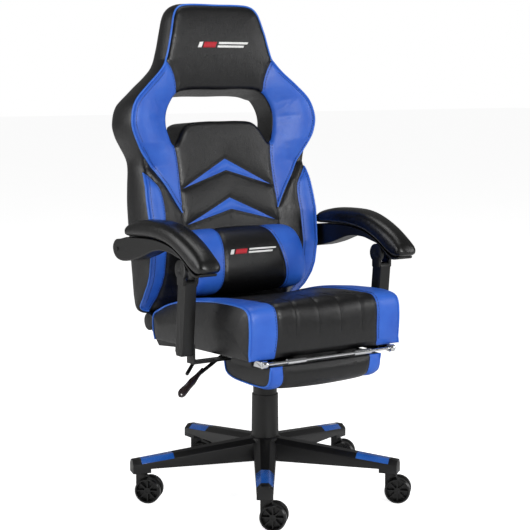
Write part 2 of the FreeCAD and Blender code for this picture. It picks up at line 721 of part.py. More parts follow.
frame = body("back_frame", "0", "hinge_y", "hinge_z", lean="back_lean")
frame_plan = sketch(frame, "XZ_Plane", "frame_set")
polygon(frame_plan, mirrored([
    (frame_half, "back_foot + 30"),
    (frame_half, "hole_low - 50"),
    ("hole_half + 37", "hole_low + 10"),
    ("hole_half + 37", "hole_top - 46"),
    ("neck_half - 9", "hole_top + 59"),
    ("head_half - 32", "back_top - 45"),
]))
polygon(frame_plan, mirrored([
    (frame_half + " - frame_bar", "back_foot + 30 + frame_bar"),
    (frame_half + " - frame_bar", "hole_low - 110"),
]))
polygon(frame_plan, mirrored([
    (frame_half + " - frame_bar", "hole_low - 110 + frame_bar"),
    (frame_half + " - frame_bar", "hole_low - 52"),
    ("hole_half + 37 - frame_bar", "hole_low + 10"),
    ("hole_half + 37 - frame_bar", "hole_top - 50"),
    ("neck_half - 9 - frame_bar", "hole_top + 54"),
    ("head_half - 32 - 0.7 * frame_bar", "back_top - 45 - frame_bar"),
]))
add(frame, frame_plan, "frame_deep", "One side")

plates = []
studs = []
for name, sign in sides:
    plate = body("back_plate_" + name, "%s * (%s + hinge_plate / 2)" % (sign, frame_half),
                 "hinge_y", "hinge_z", lean="back_lean")
    plate_side = polygon(sketch(plate, "YZ_Plane"), [
        ("-hinge_boss * 0.7", "-hinge_boss * 0.7"),
        ("0", "-hinge_boss"),
        ("hinge_boss * 0.7", "-hinge_boss * 0.7"),
        ("hinge_boss", "0"),
        (arm_u + " + stud_radius + 4", arm_v),
        (arm_u + " + 10", arm_v + " + stud_radius + 4"),
        (arm_u + " - 10", arm_v + " + stud_radius + 4"),
        (arm_u + " - stud_radius - 4", arm_v),
        ("-hinge_boss", "0"),
    ])
    add(plate, plate_side, "hinge_plate")
    remove(plate, circle(sketch(plate, "YZ_Plane"), "0", "0", "hinge_pin + running"), "4 * hinge_plate")
    plates.append(plate)

stud_reach = "(arm_side - arm_shell_wide / 2 - play)"
plate_out = "(board_half - play)"
for name, sign in sides:
    long = "(%s - %s)" % (stud_reach, plate_out)
    start = "%s * %s - %s" % (sign, plate_out, "0" if sign == "1" else long)
    stud = body("stud_" + name, start, "arm_pivot_y", "arm_pivot_z", keep=False)
    add(stud, circle(sketch(stud, "YZ_Plane"), "0", "0", "stud_radius"), long, "One side")
    inner = "0" if sign == "1" else "-arm_shell_wide - play - 2"
    tip = "(%s)" % long if sign == "1" else "0"
    neck = sketch(stud, "YZ_Plane", "%s + %s" % (inner, tip))
    add(stud, circle(neck, "0", "0", "arm_pin"), "arm_shell_wide + play + 2", "One side")
    studs.append(stud)
together("arm_studs", studs)


padding = body("back_padding", "0", "hinge_y", "hinge_z", lean="back_lean", keep=False)
opening = mirrored([
    ("hole_top_half", "hole_top"),
    ("hole_half - 13", "hole_top - 32"),
    ("hole_half", "hole_top - 72"),
    ("hole_half - 21", "hole_low"),
    ("hole_sill_half + 28", "hole_sill - 26"),
    ("hole_sill_half", "hole_sill"),
])


def back_rim(inset, inset_low):
    """Half outline of the back below the head, drawn in by an inset."""
    return [
        ("back_half - 8 - " + inset_low, "back_foot"),
        ("back_half - " + inset_low, "back_foot + 68"),
        ("back_half - " + inset_low, "hole_low - 142"),
        ("waist_half + 3 - " + inset_low, "hole_low - 93"),
        ("waist_half - " + inset_low, "hole_low - 42"),
        ("wing_half - 19 - " + inset, "hole_low + 4"),
        ("wing_half - 6 - " + inset, "hole_low + 33"),
        ("wing_half - " + inset, "hole_low + 69"),
        ("wing_half - 10 - " + inset, "hole_top - 33"),
        ("neck_half + 66 - " + inset, "hole_top + 9"),
        ("neck_half + 20 - " + inset, "hole_top + 48"),
    ]


slab = sketch(padding, "XZ_Plane", "back_face")
polygon(slab, mirrored(back_rim("0", "0")))
polygon(slab, opening)
add(padding, slab, "edge_deep", "One side", True)
rear_slab = sketch(padding, "XZ_Plane", "back_face - edge_deep")
polygon(rear_slab, mirrored(back_rim("edge_inset", "edge_inset_low")))
polygon(rear_slab, opening)
add(padding, rear_slab, "back_deep - edge_deep", "One side", True)
head = polygon(sketch(padding, "XZ_Plane", "back_face"), mirrored([
    ("neck_half + 20", "hole_top + 48"),
    ("neck_half + 5", "hole_top + 66"),
    ("head_half", "hole_top + 146"),
    ("head_half - 31", "back_top - 7"),
    ("head_half - 48", "back_top"),
]))
add(padding, head, "head_deep", "One side", True)


def wing_rim(inset):
    return [
        ("hole_half - 9", "hole_low + 4"),
        ("wing_half - 19 - " + inset, "hole_low + 4"),
        ("wing_half - 6 - " + inset, "hole_low + 33"),
        ("wing_half - " + inset, "hole_low + 69"),
        ("wing_half - 10 - " + inset, "hole_top - 33"),
        ("neck_half + 66 - " + inset, "hole_top + 9"),
        ("hole_half + 5", "hole_top - 10"),
        ("hole_half + 6", "hole_top - 72"),
    ]


def side_block(sign, offset, corners, length):
    """One wing or bolster on the side given by the sign."""
    plan = sketch(padding, "XZ_Plane", offset)
    polygon(plan, [("%s * (%s)" % (sign, x), y) for x, y in corners])
    add(padding, plan, length, "One side", True)


bolster_rim = [
    ("bolster_inner", "back_foot + 42"),
    ("back_half - 4", "back_foot + 42"),
    ("back_half - 2", "back_foot + 68"),
    ("back_half - 2", "hole_low - 150"),
    ("bolster_inner + 30", "hole_low - 110"),
    ("bolster_inner + 6", "hole_low - 160"),
]
for sign in ("-1", "1"):
    side_block(sign, "back_face + wing_proud", wing_rim("0"), "wing_deep")
    side_block(sign, "back_face - edge_deep", wing_rim("edge_inset"), "back_face - edge_deep + wing_rear")
    side_block(sign, "back_face + bolster_proud", bolster_rim, "bolster_proud + 30")
carve("back_cushion", padding, [frame] + plates + studs)

lumbar = body("lumbar_cushion", "0", "hinge_y", "hinge_z", lean="back_lean")
lumbar_side = polygon(sketch(lumbar, "YZ_Plane"), [
    ("-back_face - play", "lumbar_foot"),
    ("-back_face - play", "lumbar_foot + lumbar_high"),
    ("-back_face - lumbar_deep * 0.45", "lumbar_foot + lumbar_high"),
    ("-back_face - lumbar_deep * 0.85", "lumbar_foot + lumbar_high * 0.8"),
    ("-back_face - lumbar_deep", "lumbar_foot + lumbar_high * 0.5"),
    ("-back_face - lumbar_deep * 0.85", "lumbar_foot + lumbar_high * 0.15"),
    ("-back_face - lumbar_deep * 0.5", "lumbar_foot"),
])
add(lumbar, lumbar_side, "2 * lumbar_half")

# ---- armrests -----------------------------------------------------------------------------

# The post, the back and the arm make a parallelogram: post foot to knuckle is the same
# vector as recline axis to rear arm pivot, so the arm stays level as the back reclines.
rise_y = "(arm_pivot_y - hinge_y)"
rise_z = "(arm_pivot_z - hinge_z)"
foot_y = "(-knuckle_y - %s)" % rise_y
foot_z = "(knuckle_z - %s)" % rise_z

# Arm outlines, drawn from the front arm pivot.
pad_under = [
    ("-105", "0"),
    ("-70", "-3"),
    ("-50", "4"),
    ("-25", "20"),
    ("0", "35"),
    ("40", "51"),
    ("100", "60"),
    ("160", "60"),
    ("244", "54"),
]
pad_over = [
    ("246", "76"),
    ("230", "87"),
    ("190", "97"),
    ("160", "101"),
    ("100", "103"),
    ("60", "101"),
    ("20", "92"),
    ("-25", "75"),
    ("-65", "54"),
    ("-95", "32"),
    ("-109", "13"),
]
foot_pins = []
for name, sign in sides:
    centre = "%s * arm_side" % sign

    cushion = body("arm_pad_" + name, centre, "-knuckle_y", "knuckle_z")
    add(cushion, polygon(sketch(cushion, "YZ_Plane"), pad_under + pad_over), "arm_pad_wide")

    shell = body("arm_shell_" + name, centre, "-knuckle_y", "knuckle_z")
    top = [(y, z + " - play") for y, z in pad_under]
    rear_y = "(arm_pivot_y + knuckle_y)"
    rear_z = "(arm_pivot_z - knuckle_z)"
    low = [
        (rear_y + " - 10", rear_z + " + 22"),
        (rear_y + " + 10", rear_z + " + 21"),
        (rear_y + " + 22", rear_z + " + 4"),
        (rear_y + " + 14", rear_z + " - 18"),
        (rear_y + " - 8", rear_z + " - 26"),
        ("235", "-3"),
        ("176", "12"),
        ("108", "33"),
        ("52", "36"),
        ("14", "knuckle_radius + 6"),
        ("-10", "knuckle_radius + 1"),
        ("-37", "6"),
        ("-60", "-10"),
        ("-100", "-8"),
    ]
    add(shell, polygon(sketch(shell, "YZ_Plane"), top + low), "arm_shell_wide")
    tongue = sketch(shell, "YZ_Plane")
    polygon(tongue, [
        ("-16", "0"),
        ("-12", "-12"),
        ("0", "-17"),
        ("12", "-12"),
        ("16", "0"),
        ("24", "knuckle_radius + 14"),
        ("-24", "knuckle_radius - 4"),
    ])
    add(shell, tongue, "tongue_wide")
    knuckle_bore = circle(sketch(shell, "YZ_Plane"), "0", "0", "arm_pin + open_pivot")
    remove(shell, knuckle_bore, "2 * arm_shell_wide")
    rear_bore = circle(sketch(shell, "YZ_Plane"), rear_y, rear_z, "arm_pin + running")
    remove(shell, rear_bore, "2 * arm_shell_wide")

    post = body("arm_post_" + name, centre, foot_y, foot_z)
    post_side = polygon(sketch(post, "YZ_Plane"), [
        ("-12", "-12"),
        ("12", "-12"),
        ("post_deep / 2", "-1"),
        ("post_deep / 2 + %s" % rise_y, rise_z + " - knuckle_radius - 10"),
        (rise_y + " + 12", rise_z + " - knuckle_radius - 2"),
        (rise_y + " - 12", rise_z + " - knuckle_radius - 2"),
        ("-post_deep / 2 + %s" % rise_y, rise_z + " - knuckle_radius - 10"),
        ("-post_deep / 2", "-1"),
    ])
    add(post, post_side, "post_wide")
    for ear in ("-1", "1"):
        inner = "(tongue_wide / 2 + play)"
        start = "%s" % inner if ear == "1" else "(-%s - fork_wide)" % inner
        disc = circle(sketch(post, "YZ_Plane", start), rise_y, rise_z, "knuckle_radius")
        add(post, disc, "fork_wide", "One side")
        cheek = polygon(sketch(post, "YZ_Plane", start), [
            (rise_y + " - 14", rise_z + " - knuckle_radius - 12"),
            (rise_y + " + 14", rise_z + " - knuckle_radius - 12"),
            (rise_y + " + 14", rise_z + " - 10"),
            (rise_y + " - 14", rise_z + " - 10"),
        ])
        add(post, cheek, "fork_wide", "One side")
    remove(post, circle(sketch(post, "YZ_Plane"), rise_y, rise_z, "arm_pin"), "3 * post_wide")
    remove(post, circle(sketch(post, "YZ_Plane"), "0", "0", "arm_pin + running"), "3 * post_wide")
    ears = "(tongue_wide + 2 * play + 2 * fork_wide)"
    pin("knuckle_pin_" + name, "%s - %s / 2" % (centre, ears), "-knuckle_y", "knuckle_z", "arm_pin", ears)

    # strip: bolted under the board, dips under the rail, turns up beside the post
    ear_out = "(arm_side - post_wide / 2 - play)"
    strip = body("arm_bracket_" + name, "0", foot_y, "0")
    strip_face = [
        ("board_half - 84", "board_under"),
        ("board_half - 84", "board_under - bracket_thick"),
        ("rail_half - rail_radius - 12", "board_under - bracket_thick"),
        ("rail_half - rail_radius - 12", "bracket_drop - bracket_thick / 2"),
        (ear_out, "bracket_drop - bracket_thick / 2"),
        (ear_out, foot_z + " + 14"),
        (ear_out + " - bracket_thick", foot_z + " + 14"),
        (ear_out + " - bracket_thick", "bracket_drop + bracket_thick / 2"),
        ("rail_half - rail_radius - 12 + bracket_thick", "bracket_drop + bracket_thick / 2"),
        ("rail_half - rail_radius - 12 + bracket_thick", "board_under"),
    ]
    strip_plan = polygon(sketch(strip, "XZ_Plane"), [("%s * (%s)" % (sign, x), z) for x, z in strip_face])
    add(strip, strip_plan, "bracket_deep")
    remove(strip, circle(sketch(strip, "YZ_Plane"), "0", foot_z, "arm_pin"), "3 * arm_side")
    pin_long = "(bracket_thick + play + post_wide)"
    start = "%s * (%s - bracket_thick) - %s" % (sign, ear_out, "0" if sign == "1" else pin_long)
    foot_pins.append(pin("foot_pin_" + name, start, foot_y, foot_z, "arm_pin", pin_long, False))
together("arm_foot_pins", foot_pins)

# ---- footrest: sleeves, rails, corners, bar, board, pad ------------------------------------

sleeves = []
corners = []
for name, sign in sides:
    across = "%s * rail_half" % sign
    sleeve = body("sleeve_" + name, across, "-sleeve_front", "0", keep=False)
    sleeve_plan = polygon(sketch(sleeve, "XY_Plane", "rail_z - 12"), [
        ("-sleeve_half", "0"),
        ("sleeve_half", "0"),
        ("sleeve_half", "sleeve_length"),
        ("-sleeve_half", "sleeve_length"),
    ])
    add(sleeve, sleeve_plan, "board_under - rail_z + 12", "One side")
    sleeve_bore = circle(sketch(sleeve, "XZ_Plane"), "0", "rail_z", "rail_radius + running")
    remove(sleeve, sleeve_bore, "4 * sleeve_length")
    sleeves.append(sleeve)

    rail = body("footrest_rail_" + name, across, "-corner_rear", "rail_z")
    rail_end = circle(sketch(rail, "XZ_Plane", "12"), "0", "0", "rail_radius")
    add(rail, rail_end, "corner_rear + rail_rear + 8", "One side", True)
    eye = circle(sketch(rail, "YZ_Plane"), "corner_rear + rail_rear", "0", "eye_radius")
    add(rail, eye, "2 * rail_radius - 2")
    eye_hole = circle(sketch(rail, "YZ_Plane"), "corner_rear + rail_rear", "0", "eye_radius / 2")
    remove(rail, eye_hole, "4 * rail_radius")

    corner = body("corner_" + name, across, "-bar_y", "rail_z", keep=False)
    corner_side = polygon(sketch(corner, "YZ_Plane"), [
        ("0", "-corner_wide / 2"),
        ("bar_y - corner_rear", "-corner_wide / 2"),
        ("bar_y - corner_rear", "corner_wide / 2"),
        ("0", "corner_wide / 2"),
    ])
    add(corner, corner_side, "corner_wide")
    add(corner, circle(sketch(corner, "YZ_Plane"), "0", "0", "corner_radius"), "corner_wide - 1")
    remove(corner, circle(sketch(corner, "YZ_Plane"), "0", "0", "bar_radius"), "3 * corner_wide")
    rail_seat = circle(sketch(corner, "XZ_Plane", "corner_rear - bar_y"), "0", "0", "rail_radius")
    remove(corner, rail_seat, "12", "One side", True)
    corners.append(corner)
together("rail_sleeves", sleeves)
together("rail_corners", corners)

bar_half = "(rail_half + corner_wide / 2)"
pin("footrest_bar", "-" + bar_half, "-bar_y", "rail_z", "bar_radius", "2 * " + bar_half)

rest_board = body("footrest_board", "0", "-bar_y", "rail_z")
rest_plan = polygon(sketch(rest_board, "XY_Plane", "rest_top - rest_board - rail_z"), [
    ("rest_margin - rest_half", "bar_y - rest_front + rest_margin"),
    ("rest_half - rest_margin", "bar_y - rest_front + rest_margin"),
    ("rest_half - rest_margin", "bar_y - rest_rear - rest_margin"),
    ("rest_margin - rest_half", "bar_y - rest_rear - rest_margin"),
])
add(rest_board, rest_plan, "rest_board", "One side")
for sign in ("-1", "1"):
    start = "%s * rest_hinge_x - rest_hinge_wide / 2" % sign
    strap = polygon(sketch(rest_board, "YZ_Plane", start), [
        ("0", "-rest_hinge"),
        ("60", "-rest_hinge - 3"),
        ("60", "-rest_hinge + 0.5"),
        ("8", "-rest_hinge + 3.5"),
        ("0", "-rest_hinge + 3.5"),
    ])
    add(rest_board, strap, "rest_hinge_wide", "One side")
    knuckle = circle(sketch(rest_board, "YZ_Plane", start), "0", "0", "rest_hinge")
    add(rest_board, knuckle, "rest_hinge_wide", "One side")
rest_bore = circle(sketch(rest_board, "YZ_Plane"), "0", "0", "bar_radius + running")
remove(rest_board, rest_bore, "3 * rest_half")

rest_block = body("rest_block", "0", "-bar_y", "rail_z", keep=False)
rest_side = polygon(sketch(rest_block, "YZ_Plane"), [
    ("bar_y - rest_front", "rest_top - rail_z"),
    ("bar_y - rest_front - 2", "rest_top - rail_z - 12"),
    ("bar_y - rest_front", "rest_under - rail_z + 22"),
    ("bar_y - rest_front + 10", "rest_under - rail_z + 6"),
    ("bar_y - rest_front + 30", "rest_under - rail_z"),
    ("bar_y - rest_rear - 40", "rest_under - rail_z + 3"),
    ("bar_y - rest_rear - 8", "rest_under - rail_z + 14"),
    ("bar_y - rest_rear", "rest_top - rail_z - 20"),
    ("bar_y - rest_rear", "rest_top - rail_z"),
])
add(rest_block, rest_side, "2 * rest_half")
carve("footrest_pad", rest_block, [rest_board])

# ---- levers ----------------------------------------------------------------------------------


def eyed_lever(label, bar, eye, bore):
    """A bar with an eye at its inner end, bored for its pin."""
    whole = doc.addObject("Part::Fuse", "lever_whole")
    whole.Base = bar
    whole.Tool = eye
    return carve(label, whole, [bore])


lift_path = [
    ("-" + ear_x, "lift_y", "board_under - lift_drop"),
    ("-115", "lift_y + 4", "board_under - 43"),
    ("-185", "lift_y - 10", "board_under - 75"),
]
lift_rod = rod("lift_rod", lift_path, "lever_radius")
lift_eye = body("lift_eye", "-" + ear_x, "lift_y", "board_under - lift_drop", keep=False)
add(lift_eye, circle(sketch(lift_eye, "XZ_Plane"), "0", "0", "lift_eye"), "lift_eye_wide")
lift_bore = body("lift_bore", "-" + ear_x, "lift_y", "board_under - lift_drop", keep=False)
add(lift_bore, circle(sketch(lift_bore, "XZ_Plane"), "0", "0", "axle_radius + running"), "3 * lift_eye_wide")
eyed_lever("lift_lever", lift_rod, lift_eye, lift_bore)

grip_start = FreeCAD.Vector(*[number(text) for text in lift_path[-1]])
grip_run = FreeCAD.Vector(-55, -18, -36).normalize()
grip = doc.addObject("Part::Feature", "lift_grip")
grip.Label = "lift_grip"
paddle = Part.makeBox(number("grip_thick"), number("grip_wide"), number("grip_length"))
paddle.translate(FreeCAD.Vector(-number("grip_thick") / 2, -number("grip_wide") / 2, 0))
paddle = paddle.makeFillet(number("grip_thick") * 0.45, paddle.Edges)
paddle = paddle.cut(Part.makeSphere(number("lever_radius"), FreeCAD.Vector()))
paddle = paddle.cut(Part.makeCylinder(number("lever_radius"), 14, FreeCAD.Vector(0, 0, -14)))
grip.Shape = paddle
grip.Placement = FreeCAD.Placement(
    grip_start, FreeCAD.Rotation(FreeCAD.Vector(0, 0, 1), grip_run))
nodes.append(grip)

latch_path = [
    ("-latch_x", "latch_y - latch_eye", "latch_z"),
    ("-latch_x", "75", "latch_z - 14"),
    ("-latch_x - 16", "35", "latch_z - 28"),
    ("-latch_x - 56", "3", "latch_z - 48"),
]
latch_rod = rod("latch_rod", latch_path, "lever_radius")
latch_eye = body("latch_eye", "-latch_x", "latch_y", "latch_z", keep=False)
add(latch_eye, circle(sketch(latch_eye, "YZ_Plane"), "0", "0", "latch_eye"), "12")
latch_bore = body("latch_bore", "-latch_x", "latch_y", "latch_z", keep=False)
add(latch_bore, circle(sketch(latch_bore, "YZ_Plane"), "0", "0", "axle_radius + running"), "30")
eyed_lever("recline_lever", latch_rod, latch_eye, latch_bore)

latch_pin = pin("latch_pin", "-board_half", "latch_y", "latch_z", "axle_radius",
                "board_half - latch_x + 10", False)
lift_pin = body("lift_pin", "-" + ear_x, "lift_y", "board_under - lift_drop", keep=False)
add(lift_pin, circle(sketch(lift_pin, "XZ_Plane"), "0", "0", "axle_radius"),
    "lift_eye_wide + 2 * ear_thick + 2 * play")
together("lever_pins", [latch_pin, lift_pin])

# ---- checks and export -------------------------------------------------------------------------

doc.recompute()
for item in doc.Objects:
    if "Invalid" in item.State or "Error" in item.State:
        raise RuntimeError("%s failed: %s" % (item.Label, item.State))
for item in nodes:
    if item.Shape.isNull() or not item.Shape.isValid():
        raise RuntimeError(item.Label + " has no valid shape")

os.makedirs("parts", exist_ok=True)
for item in nodes:
    item.Shape.exportStep("parts/%s.step" % item.Label)
    box = item.Shape.BoundBox
    print("%-20s solids %d  volume %9.0f  x %7.1f %7.1f  y %7.1f %7.1f  z %7.1f %7.1f" % (
        item.Label, len(item.Shape.Solids), item.Shape.Volume,
        box.XMin, box.XMax, box.YMin, box.YMax, box.ZMin, box.ZMax))
print(len(nodes), "parts")
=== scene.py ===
import bpy
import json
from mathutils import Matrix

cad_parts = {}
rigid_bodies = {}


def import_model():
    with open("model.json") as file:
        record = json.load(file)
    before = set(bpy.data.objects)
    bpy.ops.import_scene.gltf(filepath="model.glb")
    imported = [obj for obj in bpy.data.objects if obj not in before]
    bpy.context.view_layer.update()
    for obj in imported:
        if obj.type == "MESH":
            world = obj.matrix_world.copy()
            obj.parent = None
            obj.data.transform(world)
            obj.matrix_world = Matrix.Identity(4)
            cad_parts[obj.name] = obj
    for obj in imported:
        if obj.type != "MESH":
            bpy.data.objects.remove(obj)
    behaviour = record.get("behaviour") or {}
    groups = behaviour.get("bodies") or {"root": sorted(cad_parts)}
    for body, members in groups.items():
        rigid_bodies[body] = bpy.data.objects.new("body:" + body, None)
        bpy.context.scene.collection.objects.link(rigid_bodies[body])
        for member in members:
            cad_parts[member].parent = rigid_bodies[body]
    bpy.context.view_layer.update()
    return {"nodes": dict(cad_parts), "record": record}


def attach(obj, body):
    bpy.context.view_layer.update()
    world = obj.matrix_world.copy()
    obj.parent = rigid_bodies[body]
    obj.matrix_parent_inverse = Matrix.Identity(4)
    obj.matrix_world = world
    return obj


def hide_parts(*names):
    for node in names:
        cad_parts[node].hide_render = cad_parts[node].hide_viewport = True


for item in list(bpy.data.objects):
    bpy.data.objects.remove(item, do_unlink=True)
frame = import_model()

import bmesh
import json
import math
import numpy as np
from mathutils import Vector, geometry
from mathutils.kdtree import KDTree

# Reclining office chair in black and blue synthetic leather. Metres, +Z up, sitter faces -Y.
scene = bpy.context.scene
nodes = frame["nodes"]

look = {
    "sheetStep": 4.6,      # mm between the points of a cushion's cover
    "seamDepth": 2.6,      # mm that a seam draws the cover in
    "seamWidth": 4.2,      # mm over which it does so
    "pipingRadius": 2.3,   # mm
    "stitchPitch": 7.0,    # mm, drawn about twice the real 3.5 so that it shows
    "stitchLength": 4.6,   # mm
    "stitchRadius": 0.55,  # mm
}


def linearColour(text):
    parts = [int(text[i:i + 2], 16) / 255 for i in (1, 3, 5)]
    return tuple(c / 12.92 if c <= 0.04045 else ((c + 0.055) / 1.055) ** 2.4 for c in parts) + (1.0,)


def addNode(tree, kind, settings=None, links=None):
    node = tree.nodes.new(kind)
    for key, value in (settings or {}).items():
        if isinstance(key, str) and hasattr(node, key):
            setattr(node, key, value)
        else:
            node.inputs[key].default_value = value
    for key, output in (links or {}).items():
        tree.links.new(output, node.inputs[key])
    return node


def newMaterial(name):
    material = bpy.data.materials.new(name)
    material.use_nodes = True
    tree = material.node_tree
    tree.nodes.clear()
    shader = addNode(tree, "ShaderNodeBsdfPrincipled")
    addNode(tree, "ShaderNodeOutputMaterial", links={"Surface": shader.outputs[0]})
    place = addNode(tree, "ShaderNodeTexCoord")
    return material, tree, shader, place.outputs["Object"]


def mixColour(tree, factor, dark, light):
    mix = addNode(tree, "ShaderNodeMix", {"data_type": "RGBA", 6: linearColour(dark), 7: linearColour(light)},
                  {0: factor})
    return mix.outputs[2]


def spread(tree, value, low, high, fromLow=0.0, fromHigh=1.0):
    node = addNode(tree, "ShaderNodeMapRange", {1: fromLow, 2: fromHigh, 3: low, 4: high}, {0: value})
    return node.outputs[0]


def bumpChain(tree, shader, heights):
    # heights: (value, strength, distance in metres), coarse first
    normal = None
    for value, strength, distance in heights:
        bump = addNode(tree, "ShaderNodeBump", {"Strength": strength, "Distance": distance}, {"Height": value})
        if normal:
            tree.links.new(normal, bump.inputs["Normal"])
        normal = bump.outputs[0]
    tree.links.new(normal, shader.inputs["Normal"])


def noiseAt(tree, place, size, detail=3.0, rough=0.5):
    # size: millimetres across one blotch
    node = addNode(tree, "ShaderNodeTexNoise", {"Scale": 1000.0 / size, "Detail": detail, "Roughness": rough},
                   {"Vector": place})
    return node.outputs[0]


def syntheticLeather(name, dark, light, rough, grain):
    # PU leather: a smooth polyurethane skin embossed with a fine hide grain, soft broad highlights
    material, tree, shader, place = newMaterial(name)
    blotch = noiseAt(tree, place, 60, 3)
    shade = mixColour(tree, spread(tree, blotch, 0, 1, 0.32, 0.68), dark, light)
    tree.links.new(shade, shader.inputs["Base Color"])
    # grain cells of about 1.1 mm between fine creases, with a wider 5 mm wrinkle field over them
    cells = addNode(tree, "ShaderNodeTexVoronoi", {"feature": "DISTANCE_TO_EDGE", "Scale": 1000 / 1.1},
                    {"Vector": place})
    crease = spread(tree, cells.outputs["Distance"], 0, 1, 0.0, 0.18)
    wrinkle = noiseAt(tree, place, 5, 4, 0.6)
    slack = noiseAt(tree, place, 38, 2)
    roughness = addNode(tree, "ShaderNodeMath", {"operation": "ADD"},
                        {0: spread(tree, wrinkle, rough - 0.05, rough + 0.05, 0.3, 0.7),
                         1: spread(tree, crease, 0.05, 0.0)})
    tree.links.new(roughness.outputs[0], shader.inputs["Roughness"])
    shader.inputs["IOR"].default_value = 1.5
    bumpChain(tree, shader, [(slack, 0.30, 0.0030), (wrinkle, 0.22 * grain, 0.0006),
                             (crease, 0.30 * grain, 0.00022)])
    return material


def mouldedPlastic(name, colour, light, rough, texture, gloss=0.0):
    # injection-moulded plastic with a spark-eroded texture of the given size in millimetres
    material, tree, shader, place = newMaterial(name)
    cloud = noiseAt(tree, place, 45, 3)
    shade = mixColour(tree, spread(tree, cloud, 0, 1, 0.35, 0.65), colour, light)
    tree.links.new(shade, shader.inputs["Base Color"])
    grain = noiseAt(tree, place, texture, 2, 0.7)
    tree.links.new(spread(tree, grain, rough - 0.06, rough + 0.07, 0.3, 0.7), shader.inputs["Roughness"])
    shader.inputs["IOR"].default_value = 1.49
    shader.inputs["Coat Weight"].default_value = gloss
    shader.inputs["Coat Roughness"].default_value = 0.08
    bumpChain(tree, shader, [(cloud, 0.08, 0.002), (grain, 0.25 if not gloss else 0.04, 0.00025)])
    return material


def metal(name, colour, light, rough, streak):
    # bare or plated steel, roughness varied by fine wiping marks
    material, tree, shader, place = newMaterial(name)
    long = addNode(tree, "ShaderNodeMapping", {"Scale": (1.0, 0.08, 1.0)}, {"Vector": place})
    marks = noiseAt(tree, long.outputs[0], streak, 4, 0.65)
    haze = noiseAt(tree, place, 30, 2)
    tree.links.new(mixColour(tree, haze, colour, light), shader.inputs["Base Color"])
    tree.links.new(spread(tree, marks, rough * 0.7, rough * 1.5, 0.3, 0.7), shader.inputs["Roughness"])
    shader.inputs["Metallic"].default_value = 1.0
    bumpChain(tree, shader, [(marks, 0.06, 0.0002)])
    return material


def paintedSteel(name, colour, light, rough):
    # powder-coated steel: low orange peel of about 2 mm
    material, tree, shader, place = newMaterial(name)
    peel = noiseAt(tree, place, 2.0, 2)
    haze = noiseAt(tree, place, 40, 3)
    tree.links.new(mixColour(tree, haze, colour, light), shader.inputs["Base Color"])
    tree.links.new(spread(tree, peel, rough - 0.05, rough + 0.08, 0.3, 0.7), shader.inputs["Roughness"])
    bumpChain(tree, shader, [(peel, 0.25, 0.0002)])
    return material


def birchPlywood(name):
    # plywood: pale rotary-cut face with long figure and glue-dark bands
    material, tree, shader, place = newMaterial(name)
    along = addNode(tree, "ShaderNodeMapping", {"Scale": (6.0, 0.7, 60.0)}, {"Vector": place})
    figure = noiseAt(tree, along.outputs[0], 90, 6, 0.6)
    tree.links.new(mixColour(tree, spread(tree, figure, 0, 1, 0.3, 0.7), "#8a6236", "#c79f6a"),
                   shader.inputs["Base Color"])
    tree.links.new(spread(tree, figure, 0.55, 0.75), shader.inputs["Roughness"])
    bumpChain(tree, shader, [(figure, 0.2, 0.0004)])
    return material


blackLeather = syntheticLeather("black synthetic leather", "#040405", "#08080a", 0.31, 1.0)
blueLeather = syntheticLeather("royal blue synthetic leather", "#2459c0", "#2e66cc", 0.38, 0.9)
bluePiping = syntheticLeather("blue piping", "#2c66cc", "#3974d8", 0.34, 0.5)
armSkin = syntheticLeather("black moulded polyurethane skin", "#050505", "#080808", 0.30, 0.45)
thread = mouldedPlastic("navy sewing thread", "#061238", "#0a1a48", 0.6, 0.8)
# painted seam shadow: a near-black material for the thin cords laid in the seam grooves, standing in for the shade
# there
seamShadowMaterial = mouldedPlastic("painted seam shadow", "#050506", "#0b0b0c", 0.6, 0.8)
whiteThread = mouldedPlastic("white embroidery", "#dcdcda", "#f2f2f0", 0.55, 0.8)
redThread = mouldedPlastic("red embroidery", "#a51423", "#c11b2c", 0.55, 0.8)
blackNylon = mouldedPlastic("glass-filled nylon", "#060607", "#0a0a0b", 0.40, 1.2)
blackPlastic = mouldedPlastic("black polypropylene", "#070707", "#0b0b0a", 0.40, 0.9)
casterPlastic = mouldedPlastic("caster nylon", "#050505", "#090909", 0.30, 0.9)
blueGloss = mouldedPlastic("blue gloss plastic", "#1c55ac", "#2460b8", 0.24, 1.5, 0.7)
leverGloss = mouldedPlastic("grey-brown gloss plastic", "#241b19", "#30262a", 0.20, 1.5, 0.6)
chrome = metal("chrome plate", "#d4d6d8", "#e4e5e6", 0.13, 2.0)
zincSteel = metal("zinc-plated steel", "#a9abad", "#bfc1c2", 0.28, 1.5)
blackSteel = paintedSteel("black powder coat", "#060606", "#0a0a0a", 0.40)
plywood = birchPlywood("birch plywood")
print("materials ready:", len(bpy.data.materials))


def roundLine(points, step, closed=False):
    # smooth line through the points, about evenly spaced; a third value marks a sharp corner
    spots = [np.array(p[:2], float) for p in points]
    sharp = [len(p) > 2 for p in points]
    count = len(spots)

    def heading(i, toward):
        if sharp[i] or (not closed and i in (0, count - 1)):
            return (spots[toward % count] - spots[i]) * (1 if toward >= i else -1)
        return spots[(i + 1) % count] - spots[i - 1]

    out = []
    for i in range(count if closed else count - 1):
        a, b = spots[i], spots[(i + 1) % count]
        run = np.linalg.norm(b - a)
        m0 = heading(i, i + 1)
        m1 = spots[(i + 1) % count] - a if sharp[(i + 1) % count] or (not closed and i + 1 == count - 1) \
            else spots[(i + 2) % count] - a
        m0 = m0 / np.linalg.norm(m0) * run
        m1 = m1 / np.linalg.norm(m1) * run
        for k in range(max(1, int(round(run / step)))):
            t = k / max(1, int(round(run / step)))
            out.append((2*t**3 - 3*t**2 + 1)*a + (t**3 - 2*t**2 + t)*m0
                       + (3*t**2 - 2*t**3)*b + (t**3 - t**2)*m1)
    if not closed:
        out.append(spots[-1])
    return np.array(out)


